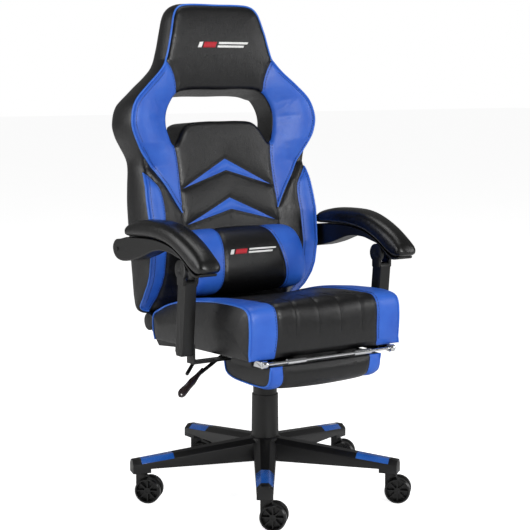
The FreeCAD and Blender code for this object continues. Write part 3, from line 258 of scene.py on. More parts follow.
def inside(points, ring):
    after = np.roll(ring, -1, axis=0)
    x, y = points[:, 0:1], points[:, 1:2]
    spans = (ring[:, 1] > y) != (after[:, 1] > y)
    cut = (after[:, 0] - ring[:, 0]) * (y - ring[:, 1]) / (after[:, 1] - ring[:, 1] + 1e-12) + ring[:, 0]
    return (spans & (x < cut)).sum(1) % 2 == 1


def distanceTo(points, lines):
    # distance of each point from the nearest of the lines
    best = np.full(len(points), 1e9)
    for line in lines:
        for a, b in zip(line[:-1], line[1:]):
            run = b - a
            t = np.clip(((points - a) @ run) / (run @ run + 1e-12), 0, 1)
            best = np.minimum(best, np.linalg.norm(points - a - t[:, None] * run, axis=1))
    return best


def looped(ring):
    return np.vstack([ring, ring[:1]])


def cutSheet(rings, seams, step):
    # fills the first ring, less the others, with triangles whose edges follow every ring and seam
    verts, edges = [], []
    for ring in rings:
        start = len(verts)
        verts += list(ring)
        edges += [(start + i, start + (i + 1) % len(ring)) for i in range(len(ring))]
    for line in seams:
        start = len(verts)
        verts += list(line)
        edges += [(start + i, start + i + 1) for i in range(len(line) - 1)]
    low, high = rings[0].min(0), rings[0].max(0)
    rows = []
    y = low[1]
    odd = False
    while y < high[1]:
        xs = np.arange(low[0] + (step / 2 if odd else 0), high[0], step)
        rows.append(np.column_stack([xs, np.full(len(xs), y)]))
        y += step * 0.866
        odd = not odd
    fill = np.vstack(rows)
    keep = inside(fill, rings[0])
    for hole in rings[1:]:
        keep &= ~inside(fill, hole)
    fill = fill[keep]
    fill = fill[distanceTo(fill, [looped(r) for r in rings] + list(seams)) > step * 0.55]
    verts += list(fill)
    result = geometry.delaunay_2d_cdt([Vector(v) for v in verts], edges, [], 0, 1e-4)
    flat = np.array([tuple(v) for v in result[0]])
    faces = np.array([f for f in result[2] if len(f) == 3])
    middle = flat[faces].mean(1)
    keep = inside(middle, rings[0])
    for hole in rings[1:]:
        keep &= ~inside(middle, hole)
    faces = faces[keep]
    where = {}
    for new, olds in enumerate(result[3]):
        for old in olds:
            where[old] = new
    ringIds = []
    start = 0
    for ring in rings:
        ringIds.append([where[start + i] for i in range(len(ring))])
        start += len(ring)
    return flat, faces, ringIds


def smoothStep(t):
    t = np.clip(t, 0, 1)
    return t * t * (3 - 2 * t)


def buildMesh(name, points, faces, materials, kinds=None):
    mesh = bpy.data.meshes.new(name)
    mesh.from_pydata([tuple(p) for p in points], [], [tuple(int(i) for i in f) for f in faces])
    for material in materials:
        mesh.materials.append(material)
    if kinds is not None:
        mesh.polygons.foreach_set("material_index", np.array(kinds, dtype=np.int32))
    mesh.polygons.foreach_set("use_smooth", [True] * len(mesh.polygons))
    piece = bpy.data.objects.new(name, mesh)
    scene.collection.objects.link(piece)
    return piece


def closeUp(piece, gap=0.00008):
    # faces outward; with a gap in metres, points closer than it are merged first
    shape = bmesh.new()
    shape.from_mesh(piece.data)
    if gap:
        bmesh.ops.remove_doubles(shape, verts=shape.verts, dist=gap)
        bmesh.ops.dissolve_degenerate(shape, dist=1e-6, edges=shape.edges)
    bmesh.ops.recalc_face_normals(shape, faces=shape.faces)
    shape.to_mesh(piece.data)
    shape.free()


def swell(piece, loose, pressure, cap):
    # cloth simulation: the cover is inflated between its seams; loose holds 0 (held) to 1 for each point
    copy = bpy.data.objects.new(piece.name + "_sim", piece.data.copy())
    scene.collection.objects.link(copy)
    group = copy.vertex_groups.new(name="held")
    for i, value in enumerate(loose):
        if value < 1:
            group.add([i], float(1 - value), "REPLACE")
    cloth = copy.modifiers.new("cloth", "CLOTH")
    cloth.settings.quality = 4
    cloth.settings.mass = 0.25
    cloth.settings.tension_stiffness = 12
    cloth.settings.compression_stiffness = 12
    cloth.settings.shear_stiffness = 6
    cloth.settings.bending_stiffness = 0.6
    cloth.settings.use_pressure = True
    cloth.settings.uniform_pressure_force = pressure
    cloth.settings.vertex_group_mass = "held"
    cloth.settings.effector_weights.gravity = 0
    cloth.collision_settings.use_collision = False
    cloth.point_cache.frame_start = 1
    cloth.point_cache.frame_end = 20
    for number in range(1, 21):
        scene.frame_set(number)
    done = copy.evaluated_get(bpy.context.evaluated_depsgraph_get())
    count = len(piece.data.vertices)
    after = np.empty(count * 3)
    before = np.empty(count * 3)
    done.data.vertices.foreach_get("co", after)
    piece.data.vertices.foreach_get("co", before)
    shift = (after - before).reshape(-1, 3)
    size = np.linalg.norm(shift, axis=1)
    size[size == 0] = 1
    shift *= (cap * np.tanh(size / cap) / size)[:, None]
    piece.data.vertices.foreach_set("co", (before.reshape(-1, 3) + shift).ravel())
    piece.data.update()
    bpy.data.objects.remove(copy, do_unlink=True)
    scene.frame_set(1)
    largest = float(np.linalg.norm(shift, axis=1).max()) * 1000
    print("simulated", piece.name, "largest move mm", round(largest, 1))


def tubeFaces(stations, around):
    # faces of a closed tube whose points are listed ring by ring
    faces = []
    for i in range(stations - 1):
        for k in range(around):
            a, b = i * around + k, i * around + (k + 1) % around
            faces.append((a, b, b + around, a + around))
    last = (stations - 1) * around
    return faces + [tuple(range(around)), tuple(range(last, last + around))[::-1]]


class Cover:
    # finds the place and the outward direction on a finished cover for a spot in its flat pattern
    def __init__(self, piece, flat, ids):
        mesh = piece.data
        self.tree = KDTree(len(flat))
        for k, spot in enumerate(flat):
            self.tree.insert((spot[0], spot[1], 0), k)
        self.tree.balance()
        self.points = np.array([mesh.vertices[i].co for i in ids])
        self.normals = np.array([mesh.vertices[i].normal for i in ids])

    def at(self, spot, lift=0.0):
        found = self.tree.find_n((spot[0], spot[1], 0), 4)
        weights = np.array([1 / (f[2] ** 2 + 0.05) for f in found])
        weights /= weights.sum()
        picks = [f[1] for f in found]
        normal = (self.normals[picks] * weights[:, None]).sum(0)
        normal /= np.linalg.norm(normal)
        return (self.points[picks] * weights[:, None]).sum(0) + normal * lift / 1000


# things that follow a line: piping, stitches

def linesToMesh(name, lines):
    mesh = bpy.data.meshes.new(name)
    verts, edges = [], []
    for line, closed in lines:
        start = len(verts)
        verts += [tuple(p) for p in line]
        edges += [(start + i, start + i + 1) for i in range(len(line) - 1)]
        if closed:
            edges.append((start + len(line) - 1, start))
    mesh.from_pydata(verts, edges, [])
    piece = bpy.data.objects.new(name, mesh)
    scene.collection.objects.link(piece)
    return piece


def runTree(piece, tree, values):
    modifier = piece.modifiers.new("follow", "NODES")
    modifier.node_group = tree
    for item in tree.interface.items_tree:
        if item.item_type == "SOCKET" and item.in_out == "INPUT" and item.name in values:
            modifier[item.identifier] = values[item.name]
    done = piece.evaluated_get(bpy.context.evaluated_depsgraph_get())
    mesh = bpy.data.meshes.new_from_object(done)
    piece.modifiers.clear()
    piece.data = mesh
    mesh.polygons.foreach_set("use_smooth", [True] * len(mesh.polygons))
    return piece


def followTree(name, inputs):
    tree = bpy.data.node_groups.new(name, "GeometryNodeTree")
    tree.interface.new_socket("Geometry", in_out="INPUT", socket_type="NodeSocketGeometry")
    for label, kind, value in inputs:
        socket = tree.interface.new_socket(label, in_out="INPUT", socket_type=kind)
        if value is not None:
            socket.default_value = value
    tree.interface.new_socket("Geometry", in_out="OUTPUT", socket_type="NodeSocketGeometry")
    return tree, addNode(tree, "NodeGroupInput")


def finishTree(tree, geometryOutput, materialOutput):
    real = addNode(tree, "GeometryNodeRealizeInstances", links={0: geometryOutput})
    painted = addNode(tree, "GeometryNodeSetMaterial", links={0: real.outputs[0], "Material": materialOutput})
    addNode(tree, "NodeGroupOutput", links={0: painted.outputs[0]})


def pipingTree():
    tree, given = followTree("sewn piping", [("Radius", "NodeSocketFloat", 0.0025),
                                             ("Pitch", "NodeSocketFloat", 0.004),
                                             ("Sides", "NodeSocketInt", 10),
                                             ("Material", "NodeSocketMaterial", None)])
    line = addNode(tree, "GeometryNodeMeshToCurve", links={0: given.outputs["Geometry"]})
    even = addNode(tree, "GeometryNodeResampleCurve", {"mode": "LENGTH"},
                   {"Curve": line.outputs[0], "Length": given.outputs["Pitch"]})
    ring = addNode(tree, "GeometryNodeCurvePrimitiveCircle",
                   links={"Resolution": given.outputs["Sides"], "Radius": given.outputs["Radius"]})
    tube = addNode(tree, "GeometryNodeCurveToMesh", {"Fill Caps": True},
                   {"Curve": even.outputs[0], "Profile Curve": ring.outputs[0]})
    finishTree(tree, tube.outputs[0], given.outputs["Material"])
    return tree


def stitchTree():
    tree, given = followTree("row of stitches", [("Pitch", "NodeSocketFloat", 0.007),
                                                 ("Length", "NodeSocketFloat", 0.0045),
                                                 ("Radius", "NodeSocketFloat", 0.0005),
                                                 ("Material", "NodeSocketMaterial", None)])
    line = addNode(tree, "GeometryNodeMeshToCurve", links={0: given.outputs["Geometry"]})
    even = addNode(tree, "GeometryNodeResampleCurve", {"mode": "LENGTH"},
                   {"Curve": line.outputs[0], "Length": given.outputs["Pitch"]})
    yarn = addNode(tree, "GeometryNodeMeshCone",
                   {"Vertices": 6, "Side Segments": 2, "fill_type": "TRIANGLE_FAN"},
                   {"Radius Top": given.outputs["Radius"], "Radius Bottom": given.outputs["Radius"],
                    "Depth": given.outputs["Length"]})
    half = addNode(tree, "ShaderNodeMath", {"operation": "MULTIPLY", 1: -0.5}, {0: given.outputs["Length"]})
    offset = addNode(tree, "ShaderNodeCombineXYZ", links={"Z": half.outputs[0]})
    centred = addNode(tree, "GeometryNodeTransform", links={0: yarn.outputs[0], "Translation": offset.outputs[0]})
    tangent = addNode(tree, "GeometryNodeInputTangent")
    turn = addNode(tree, "FunctionNodeAlignRotationToVector", {"axis": "Z"}, {"Vector": tangent.outputs[0]})
    rows = addNode(tree, "GeometryNodeInstanceOnPoints",
                   links={"Points": even.outputs[0], "Instance": centred.outputs[0], "Rotation": turn.outputs[0]})
    finishTree(tree, rows.outputs[0], given.outputs["Material"])
    return tree


pipingNodes = pipingTree()
stitchNodes = stitchTree()


def piping(name, lines, material, body, radius=None):
    piece = linesToMesh(name, lines)
    runTree(piece, pipingNodes, {"Radius": (radius or look["pipingRadius"]) / 1000, "Pitch": 0.004,
                                 "Sides": 10, "Material": material})
    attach(piece, body)
    return piece


def stitches(name, lines, material, body):
    piece = linesToMesh(name, lines)
    runTree(piece, stitchNodes, {"Pitch": look["stitchPitch"] / 1000, "Length": look["stitchLength"] / 1000,
                                 "Radius": look["stitchRadius"] / 1000, "Material": material})
    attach(piece, body)
    return piece


def seamShadowCords(name, surface, lines, body, radius=0.8, lift=0.0, material=None):
    # painted seam shadow: the shade in a seam's groove, drawn as a thin dark cord lying in it
    rows = [([surface.at(p, lift) for p in line], False) for line in lines]
    return piping(name, rows, material or seamShadowMaterial, body, radius)


def offsetLine(line, gap):
    # the line moved sideways in its pattern, to the left of its direction when gap is positive
    run = np.gradient(line, axis=0)
    run /= np.linalg.norm(run, axis=1)[:, None]
    return line + np.column_stack([-run[:, 1], run[:, 0]]) * gap


def mirrorLine(line):
    return line * np.array([-1, 1])


# back: one padded shell with an opening under the head panel

back = {
    "axis": (0.200, 0.415),   # recline axis, y and z
    "lean": math.radians(6.8),
    "centre": [(27, 66), (60, 76), (120, 84), (180, 87), (262, 86), (330, 76), (400, 70), (470, 66), (566, 72),
               (600, 78), (640, 82), (700, 84), (750, 80), (777, 76)],
    "innerEdge": [(27, 150), (262, 139), (430, 142), (494, 163), (534, 150), (566, 122), (600, 136), (632, 155)],
    "ridgeAt": [(27, 222), (120, 226), (300, 226), (385, 222), (440, 238), (490, 250), (540, 242), (575, 205),
                (632, 158)],
    "ridge": [(27, 0), (38, 10), (60, 42), (91, 72), (115, 87), (170, 103), (253, 105), (330, 92), (378, 74),
              (410, 84), (434, 92), (490, 96), (540, 94), (575, 92), (632, 86), (640, 82)],
    "rear": [(27, -16), (120, -12), (390, -12), (440, -20), (540, -20), (585, -8), (620, 4), (680, 10), (777, 14)],
    "inset": [(27, 0), (80, 3), (390, 3), (440, 5), (560, 5), (640, 2), (777, 0)],
    "puff": 3.0, "puffReach": 16,
    "wingSeam": 2.5, "wingSeamReach": 6,    # the wings' outer seam is drawn in further
    "edgeRoll": 5.0, "edgeRollWide": 15,    # rounding of the outer edge
    "holeRoll": 6.0, "holeRollWide": 13,    # and of the opening's edge
    "edgeBulge": 7.0, "wallRows": 9,
    "rimStitch": 8.5,
    "pressure": 3.0,
    "cap": 0.007,           # metres, the most that the simulation moves a point
}
outlineHalf = [(0, 773), (78, 773), (106, 768), (121, 753), (134, 712), (147, 664), (158, 633), (180, 606),
               (221, 570), (257, 533), (270, 490), (265, 459), (253, 432), (240, 402), (238, 378), (242, 340),
               (246, 288), (246, 180), (245, 110), (242, 62), (230, 34), (190, 26), (0, 26)]
holeHalf = [(0, 565), (88, 565), (126, 557), (147, 533), (158, 508), (160, 482), (154, 452), (142, 430),
            (126, 446), (112, 468), (90, 482), (50, 486), (0, 486)]


def edgeRoll(far, wide, deep):
    # how far a rounded edge falls away, far from it in mm
    share = np.clip(1 - far / wide, 0, 1)
    return deep * (1 - np.sqrt(np.clip(1 - share ** 2, 0, 1)))


def backPoint(u, v, d):
    # spot on the back: u across, v up the back from the recline axis, d ahead of it; mm in, metres out
    c, s = math.cos(back["lean"]), math.sin(back["lean"])
    y = back["axis"][0] * 1000 - c * d + s * v
    z = back["axis"][1] * 1000 + s * d + c * v
    return np.column_stack([u, y, z]) / 1000


def alongBack(sideways, ahead):
    # a move given in the back's own directions, millimetres in and metres out
    zero = np.zeros(len(sideways))
    return backPoint(sideways[:, 0], sideways[:, 1], zero + ahead) - backPoint(zero, zero, zero)


def table(pairs, at):
    return np.interp(at, [p[0] for p in pairs], [p[1] for p in pairs])


def fullRing(half, step):
    # closed outline from a right half listed from the top to the bottom
    right = [p for p in half if p[0] > 0]
    points = [half[0]] + right + [half[-1]] + [(-p[0],) + tuple(p[1:]) for p in reversed(right)]
    return roundLine(points, step, closed=True)


def makeBack():
    step = look["sheetStep"]
    outline = fullRing(outlineHalf, step)
    hole = fullRing(holeHalf, step)
    wingOuter = roundLine([(251, 428), (232, 400), (213, 374), (176, 320), (158, 290), (142, 262)], step)
    wingInner = roundLine([(143.5, 431), (139, 395), (139, 330), (141, 290), (142, 262)], step)
    headSide = roundLine([(155.5, 635.5), (143, 617), (135, 598), (130, 578), (128.5, 559)], step)
    lowerSide = roundLine([(142, 262), (144, 180), (147, 90), (150, 28)], step)
    stripInner = roundLine([(239.6, 366), (224, 348), (205, 322), (199, 285), (201, 240), (204, 170), (206, 112),
                            (208, 58), (208, 28)], step)
    chevrons = []
    for low in (0, 98):
        upper = roundLine([(-139, 318 - low * 0.91), (0, 392 - low, 1), (139, 318 - low * 0.91)], step)
        lower = roundLine([(-139, 318 - low * 0.91), (0, 362 - low, 1), (139, 318 - low * 0.91)], step)
        chevrons.append((upper, lower))
    both = []
    for line in (wingOuter, wingInner, headSide, lowerSide, stripInner):
        both += [line, mirrorLine(line)]
    seams = both + [line for pair in chevrons for line in pair]
    flat, faces, ringIds = cutSheet([outline, hole], seams, step)
    print("back cover:", len(flat), "points")

    side = np.abs(flat[:, 0])
    v = flat[:, 1]
    edge = distanceTo(flat, [looped(outline)])
    rim = distanceTo(flat, [looped(hole)])
    seam = distanceTo(flat, seams)
    deepSeam = distanceTo(flat, [wingOuter, mirrorLine(wingOuter)])
    depth = table(back["centre"], v)
    share = (side - table(back["innerEdge"], v)) / (table(back["ridgeAt"], v) - table(back["innerEdge"], v))
    depth += (table(back["ridge"], v) - depth) * smoothStep(share) * (v < 640)
    border = np.minimum(edge, rim)
    depth += back["puff"] * (1 - np.exp(-np.minimum(border, seam) / back["puffReach"]))
    depth -= look["seamDepth"] * np.exp(-(seam / look["seamWidth"]) ** 2)
    depth -= back["wingSeam"] * np.exp(-(deepSeam / back["wingSeamReach"]) ** 2)
    depth -= edgeRoll(edge, back["edgeRollWide"], back["edgeRoll"])
    depth -= edgeRoll(rim, back["holeRollWide"], back["holeRoll"])

    inset = table(back["inset"], v) * np.exp(-edge / 45)
    tree = KDTree(len(outline))
    ahead = np.roll(outline, -1, axis=0) - np.roll(outline, 1, axis=0)
    ahead /= np.linalg.norm(ahead, axis=1)[:, None]
    inward = np.column_stack([ahead[:, 1], -ahead[:, 0]])
    middle = outline.mean(0)
    if ((middle - outline) * inward).sum() < 0:
        inward = -inward
    for k, spot in enumerate(outline):
        tree.insert((spot[0], spot[1], 0), k)
    tree.balance()
    nearest = [tree.find((p[0], p[1], 0))[1] for p in flat]
    rearFlat = flat + inward[nearest] * inset[:, None]
    # the opening narrows toward the rear above and below, and widens at its sides
    nearRim = np.exp(-rim / 30)
    below, above = smoothStep((500 - v) / 30) * (side < 112), smoothStep((v - 540) / 22)
    rearFlat[:, 1] += nearRim * (8 * below - 10 * above)
    rearFlat[:, 0] += np.sign(flat[:, 0]) * nearRim * 7 * smoothStep((side - 125) / 20)
    rearDepth = table(back["rear"], v) - 5 * (1 - np.exp(-border / 22))
    front = backPoint(flat[:, 0], v, depth)
    rear = backPoint(rearFlat[:, 0], rearFlat[:, 1], rearDepth)

    half = {"wing": np.vstack([headSide, stretchOf(hole, headSide[-1], wingInner[0]), wingInner, wingOuter[::-1],
                               stretchOf(outline, wingOuter[0], headSide[0])]),
            "strip": np.vstack([stripInner, stretchOf(outline, stripInner[-1], stripInner[0])])}
    centre = flat[faces].mean(1)
    right = np.column_stack([np.abs(centre[:, 0]), centre[:, 1]])
    blue = inside(right, half["wing"]) | inside(right, half["strip"])
    for upper, lower in chevrons:
        blue |= inside(centre, np.vstack([upper, lower[::-1]]))

    count = len(flat)
    points = [front, rear]
    allFaces = [faces, faces[:, ::-1] + count]
    kinds = [blue.astype(int), np.zeros(len(faces), int)]
    start = 2 * count
    for ids, bulge in ((ringIds[0], back["edgeBulge"]), (ringIds[1], 0.0)):
        ids = np.array(ids)
        rows = [ids]
        outward = -inward[[nearest[i] for i in ids]]
        for k in range(1, back["wallRows"]):
            t = k / back["wallRows"]
            push = bulge * math.sin(math.pi * t) ** 0.8
            points.append(front[ids] * (1 - t) + rear[ids] * t + alongBack(outward * push, 0.0))
            rows.append(np.arange(len(ids)) + start)
            start += len(ids)
        rows.append(ids + count)
        for a, b in zip(rows[:-1], rows[1:]):
            quads = np.column_stack([a, np.roll(a, -1), np.roll(b, -1), b])
            allFaces.append(quads)
            kinds.append(np.zeros(len(quads), int))
    faceList = [tuple(f) for block in allFaces for f in block]
    piece = buildMesh("backCover", np.vstack(points), faceList, [blackLeather, blueLeather],
                      np.concatenate(kinds))
    closeUp(piece, 0)  # its points keep their order
    loose = np.zeros(len(piece.data.vertices))
    loose[:count] = smoothStep(np.minimum(border / 22, seam / 10))
    swell(piece, loose, back["pressure"], back["cap"])
    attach(piece, "back")
    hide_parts("back_cushion")
    cover = Cover(piece, flat, range(count))

    ring = front[ringIds[0]]
    out = -inward[[nearest[i] for i in ringIds[0]]]
    cord = ring + alongBack(out * 1.2, 0.8)
    upper = outline[:, 1] > 433
    left = outline[:, 0] < 0
    strip = (outline[:, 1] < 366) & (np.abs(outline[:, 0]) > 207)
    tips = [np.array([cover.at(p, 1.2) for p in one[2:]]) for one in (mirrorLine(wingOuter), wingOuter)]
    over = np.vstack([tips[0][::-1], cord[upper & left], cord[upper & ~left], tips[1]])
    for _ in range(3):
        over[1:-1] = (over[:-2] + 2 * over[1:-1] + over[2:]) / 4
    lines = [(over, False), (cord[strip & left], False), (cord[strip & ~left], False)]
    piping("backPiping", lines, bluePiping, "back")
    # painted seam shadow along these seams: thin dark cords lying in their grooves
    dark = [wingInner, headSide, stripInner, lowerSide]
    dark += [mirrorLine(line) for line in dark] + [line for pair in chevrons for line in pair]
    seamShadowCords("backSeamShadows", cover, dark, "back")
    rows = []
    for line, gap in ((wingOuter, -6), (headSide, 5), (wingInner, 5), (stripInner, 4.5)):
        shifted = offsetLine(line[2:-2], gap)
        for one in (shifted, mirrorLine(shifted)):
            rows.append(([cover.at(p, 0.35) for p in one], False))
    innerRim = outline + inward * back["rimStitch"]
    for sign in (1, -1):
        for low, high in ((440, 612), (50, 352)):
            near = [p for p in innerRim if p[0] * sign > 170 and low < p[1] < high]
            edgeLine = sorted(near, key=lambda p: p[1])
            rows.append(([cover.at(p, 0.35) for p in edgeLine], False))
    stitches("backStitches", rows, thread, "back")
    return cover


def stretchOf(ring, start, end):
    # the part of a ring that runs from near one point to near another on the right side, the short way
    a = int(np.argmin(np.linalg.norm(ring - start, axis=1)))
    b = int(np.argmin(np.linalg.norm(ring - end, axis=1)))
    count = len(ring)
    forward = [(a + k) % count for k in range((b - a) % count + 1)]
    backward = [(a - k) % count for k in range((a - b) % count + 1)]
    return ring[forward if len(forward) < len(backward) else backward]


backSurface = makeBack()
print("back ready")


# embroidered mark: plain slanted bars, no letters

def mark(name, surface, centre, width, body):
    u0, v0 = centre
    high = width * 0.09
    slant = high * 0.5
    bars = [(0.00, 0.07, 0.0, 1.0, whiteThread), (0.10, 0.34, 0.0, 1.0, redThread),
            (0.38, 0.96, 0.62, 1.0, whiteThread), (0.38, 0.90, 0.0, 0.38, whiteThread)]
    for k, (left, right, low, top, material) in enumerate(bars):
        count = max(3, int((right - left) * width / 3))
        points, faces = [], []
        for row in range(4):
            y = v0 + high * (low + (top - low) * row / 3 - 0.5)
            lean = slant * (low + (top - low) * row / 3)
            for i in range(count + 1):
                x = u0 + width * (left + (right - left) * i / count - 0.5) + lean
                points.append(surface.at((x, y), 0.25))
        for row in range(3):
            for i in range(count):
                a = row * (count + 1) + i
                faces.append((a, a + 1, a + count + 2, a + count + 1))
        piece = buildMesh("%s_%d" % (name, k), points, faces, [material])
        thick = piece.modifiers.new("thick", "SOLIDIFY")
        thick.thickness = 0.0007
        thick.offset = 0
        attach(piece, body)


mark("headMark", backSurface, (6, 674), 150, "back")


# pads wrapped in a strip with two end panels: seat, lumbar cushion, footrest

def wrappedPad(name, size, place, rise, colour, seamLines, body, node):
    step = size["step"]
    profile = roundLine(size["profile"], step)
    runs = np.linalg.norm(np.diff(profile, axis=0), axis=1)
    along = np.concatenate([[0], np.cumsum(runs)])
    total = along[-1]
    tangent = np.gradient(profile, axis=0)
    tangent /= np.linalg.norm(tangent, axis=1)[:, None]
    normal = np.column_stack([-tangent[:, 1], tangent[:, 0]])
    if ((profile - profile.mean(0)) * normal).sum() < 0:
        normal = -normal

    half = size["half"]
    wide = int(round(2 * half / step))
    tall = int(round(total / step))
    xs = np.linspace(-half, half, wide + 1)
    ts = np.linspace(0, total, tall + 1)
    ring = np.vstack([np.column_stack([xs[:-1], np.zeros(wide)]),
                      np.column_stack([np.full(tall, half), ts[:-1]]),
                      np.column_stack([xs[::-1][:-1], np.full(wide, total)]),
                      np.column_stack([np.full(tall, -half), ts[::-1][:-1]])])
    seams = [np.array(line) for line in seamLines(total, along, profile)]
    fine = [np.array(line) for line in size.get("fine", lambda *given: [])(total, along, profile)]
    flat, faces, ringIds = cutSheet([ring], seams + fine, step)
    x, t = flat[:, 0], flat[:, 1]
    base = np.column_stack([np.interp(t, along, profile[:, 0]), np.interp(t, along, profile[:, 1])])
    lean = np.column_stack([np.interp(t, along, normal[:, 0]), np.interp(t, along, normal[:, 1])])
    edge = half - np.abs(x)
    seam = distanceTo(flat, seams) if seams else np.full(len(flat), 1e3)
    height = rise(x, t, base)
    height += size["puff"] * (1 - np.exp(-np.minimum(edge, seam) / size["puffReach"]))
    height -= look["seamDepth"] * np.exp(-(seam / look["seamWidth"]) ** 2)
    if fine:
        height -= 1.6 * np.exp(-(distanceTo(flat, fine) / 5) ** 2)
    height -= edgeRoll(edge, size["rollWide"], size["roll"])
    height *= smoothStep(np.minimum(t, total - t) / 18)
    spots = base + lean * height[:, None]
    strip = np.column_stack([x, spots])
    middle = flat[faces].mean(1)
    kinds = [colour(middle[:, 0], middle[:, 1], total, along, profile).astype(int)]

    points = [strip]
    allFaces = [faces]
    start = len(strip)
    edgeLines = []
    for sign in (1, -1):
        wanted = np.abs(x - sign * half) < 1e-3
        order = np.argsort(t[wanted])
        line = strip[wanted][order][:, 1:]
        edgeLines.append(np.column_stack([np.full(len(line), sign * half), line]))
        closing = np.linalg.norm(line[0] - line[-1])
        pieces = max(2, int(round(closing / step)))
        bottom = np.array([line[-1] + (line[0] - line[-1]) * k / pieces for k in range(1, pieces)])
        outline = np.vstack([line, bottom])
        sideFlat, sideFaces, _ = cutSheet([outline], [], step)
        far = distanceTo(sideFlat, [looped(outline)])
        out = half + size["bulge"] * (1 - np.exp(-far / size["bulgeReach"]))
        points.append(np.column_stack([sign * out, sideFlat]))
        allFaces.append(sideFaces + start)
        kinds.append(np.zeros(len(sideFaces), int))
        start += len(sideFlat)
    line = np.array([strip[np.argmin(np.abs(x) + t)][1:], strip[np.argmin(np.abs(x) + total - t)][1:]])
    closing = np.linalg.norm(line[0] - line[1])
    pieces = max(2, int(round(closing / step)))
    under = [(a, b) for b in range(pieces + 1) for a in xs]
    grid = np.array([(a, *(line[1] + (line[0] - line[1]) * b / pieces)) for a, b in under])
    points.append(grid)
    width = len(xs)
    allFaces.append(np.array([(r * width + c, r * width + c + 1, (r + 1) * width + c + 1, (r + 1) * width + c)
                              for r in range(pieces) for c in range(width - 1)]) + start)
    kinds.append(np.zeros(pieces * (width - 1), int))
    cloud = np.vstack(points)
    piece = buildMesh(name, place(cloud), [tuple(f) for block in allFaces for f in block],
                      [blackLeather, blueLeather], np.concatenate(kinds))
    closeUp(piece, 0.0006)
    tree = KDTree(len(piece.data.vertices))
    for vertex in piece.data.vertices:
        tree.insert(vertex.co, vertex.index)
    tree.balance()
    stripWorld = place(strip)
    ids = [tree.find(p)[1] for p in stripWorld]
    loose = np.full(len(piece.data.vertices), 0.0)
    free = smoothStep(np.minimum(np.minimum(edge, seam), np.minimum(t, total - t)) / size["holdReach"])
    for k, i in enumerate(ids):
        loose[i] = free[k]
    swell(piece, loose, size["pressure"], size["cap"])
    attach(piece, body)
    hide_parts(node)
    print(name, len(piece.data.polygons), "faces")
    cover = Cover(piece, flat, ids)
    cover.total = total
    cover.along = along
    cover.profile = profile
    cover.edges = edgeLines
    # painted seam shadow: thin dark cords lying in the seam and channel grooves
    seamShadowCords(name + "Seams", cover, [line[1:-1] for line in seams], body)
    if fine:
        seamShadowCords(name + "Channels", cover, fine, body, 0.7, 0.1)
    return cover


def outside(line, x, t):
    # true beyond the panel boundary, on either side
    return np.abs(x) > np.interp(t, line[:, 1], line[:, 0])


def panelStitches(name, surface, lines, body):
    # a row of stitches 5 mm outside each panel boundary; the lines are given right side first
    rows = [([surface.at(p, 0.3) for p in offsetLine(line, gap)[3:-3]], False)
            for line, gap in zip(lines, (-5, 5))]
    stitches(name, rows, thread, body)


def asIs(cloud):
    return cloud / 1000


def onBack(cloud):
    return backPoint(cloud[:, 0], cloud[:, 2], cloud[:, 1])


seat = {
    "step": 5.0,
    "profile": [(165, 376, 1), (175, 392), (178, 422), (172, 441), (150, 453), (107, 471), (51, 486), (0, 495),
                (-60, 502), (-100, 506), (-160, 509), (-214, 508), (-239, 502), (-250, 489), (-254, 466),
                (-254, 436), (-250, 386, 1)],
    "half": 213,
    "puff": 2.0, "puffReach": 16,
    "roll": 3.5, "rollWide": 20,
    "bulge": 12, "bulgeReach": 30,
    "pressure": 3.0, "cap": 0.006, "holdReach": 16,
    "fill": 0.8,
    "dish": [(-260, 0), (-190, 1), (-120, 7), (-40, 12), (40, 13), (110, 8), (165, 0)],
    "bow": 9,
}
seatInner = [(-250, 390, 146), (-254, 436, 142), (-250, 474, 143), (-236, 497, 143), (-203, 508, 145),
             (-130, 508, 151), (-45, 502, 160), (0, 496, 164), (60, 482, 165), (118, 458, 164), (170, 432, 162)]
channels = (-94, -31, 31, 94)


def placeAlong(y, z, along, profile):
    return along[int(np.argmin(np.hypot(profile[:, 0] - y, profile[:, 1] - z)))]


def seatRise(x, t, base):
    side = np.abs(x)
    dish = table(seat["dish"], base[:, 0])
    front = smoothStep((-195 - base[:, 0]) / 50)
    bow = seat["bow"] * front * (1 - (side / seat["half"]) ** 2)
    return bow - dish * (1 - smoothStep((side - 105) / 70))


def seatBoundary(along, profile, sign=1):
    spots = sorted([(placeAlong(y, z, along, profile), x) for y, z, x in seatInner])
    return roundLine([(sign * x, t) for t, x in spots], 5.0)


def seatSeams(total, along, profile):
    return [seatBoundary(along, profile, 1), seatBoundary(along, profile, -1)]


def seatChannels(total, along, profile):
    first = placeAlong(-175, 510, along, profile)
    last = placeAlong(-254, 436, along, profile)
    return [roundLine([(x, first), (x, (first + last) / 2), (x, last)], 5.0) for x in channels]


def seatColour(x, t, total, along, profile):
    return outside(seatBoundary(along, profile, 1), x, t)


seat["fine"] = seatChannels
seatSurface = wrappedPad("seatCover", seat, asIs, seatRise, seatColour, seatSeams, "seat", "seat_cushion")


def sidePiping(name, surface, body, radius):
    # a cord sewn in along both side edges, one millimetre proud of them
    lines = [(asIs(line + np.array([np.sign(line[0, 0]), 0, 0])), False) for line in surface.edges]
    piping(name, lines, bluePiping, body, radius)


sidePiping("seatPiping", seatSurface, "seat", 2.2)
panelStitches("seatStitches", seatSurface, seatSeams(0, seatSurface.along, seatSurface.profile), "seat")
print("seat ready")

lumbar = {
    "step": 4.6,
    "profile": [(84, 60, 1), (110, 56), (146, 62), (170, 82), (178, 110), (175, 142), (162, 178), (138, 206),
                (106, 219), (84, 216, 1)],
    "half": 158,
    "puff": 2.0, "puffReach": 22,
    "roll": 11, "rollWide": 28,
    "bulge": 10, "bulgeReach": 20,
    "pressure": 4.0, "cap": 0.006, "holdReach": 12,
    "fill": 0.7,
}
lumbarInner = [(0.0, 96), (0.25, 95), (0.5, 88), (0.72, 78), (1.0, 66)]


def lumbarRise(x, t, base):
    return -3.5 * (np.abs(x) / lumbar["half"]) ** 2


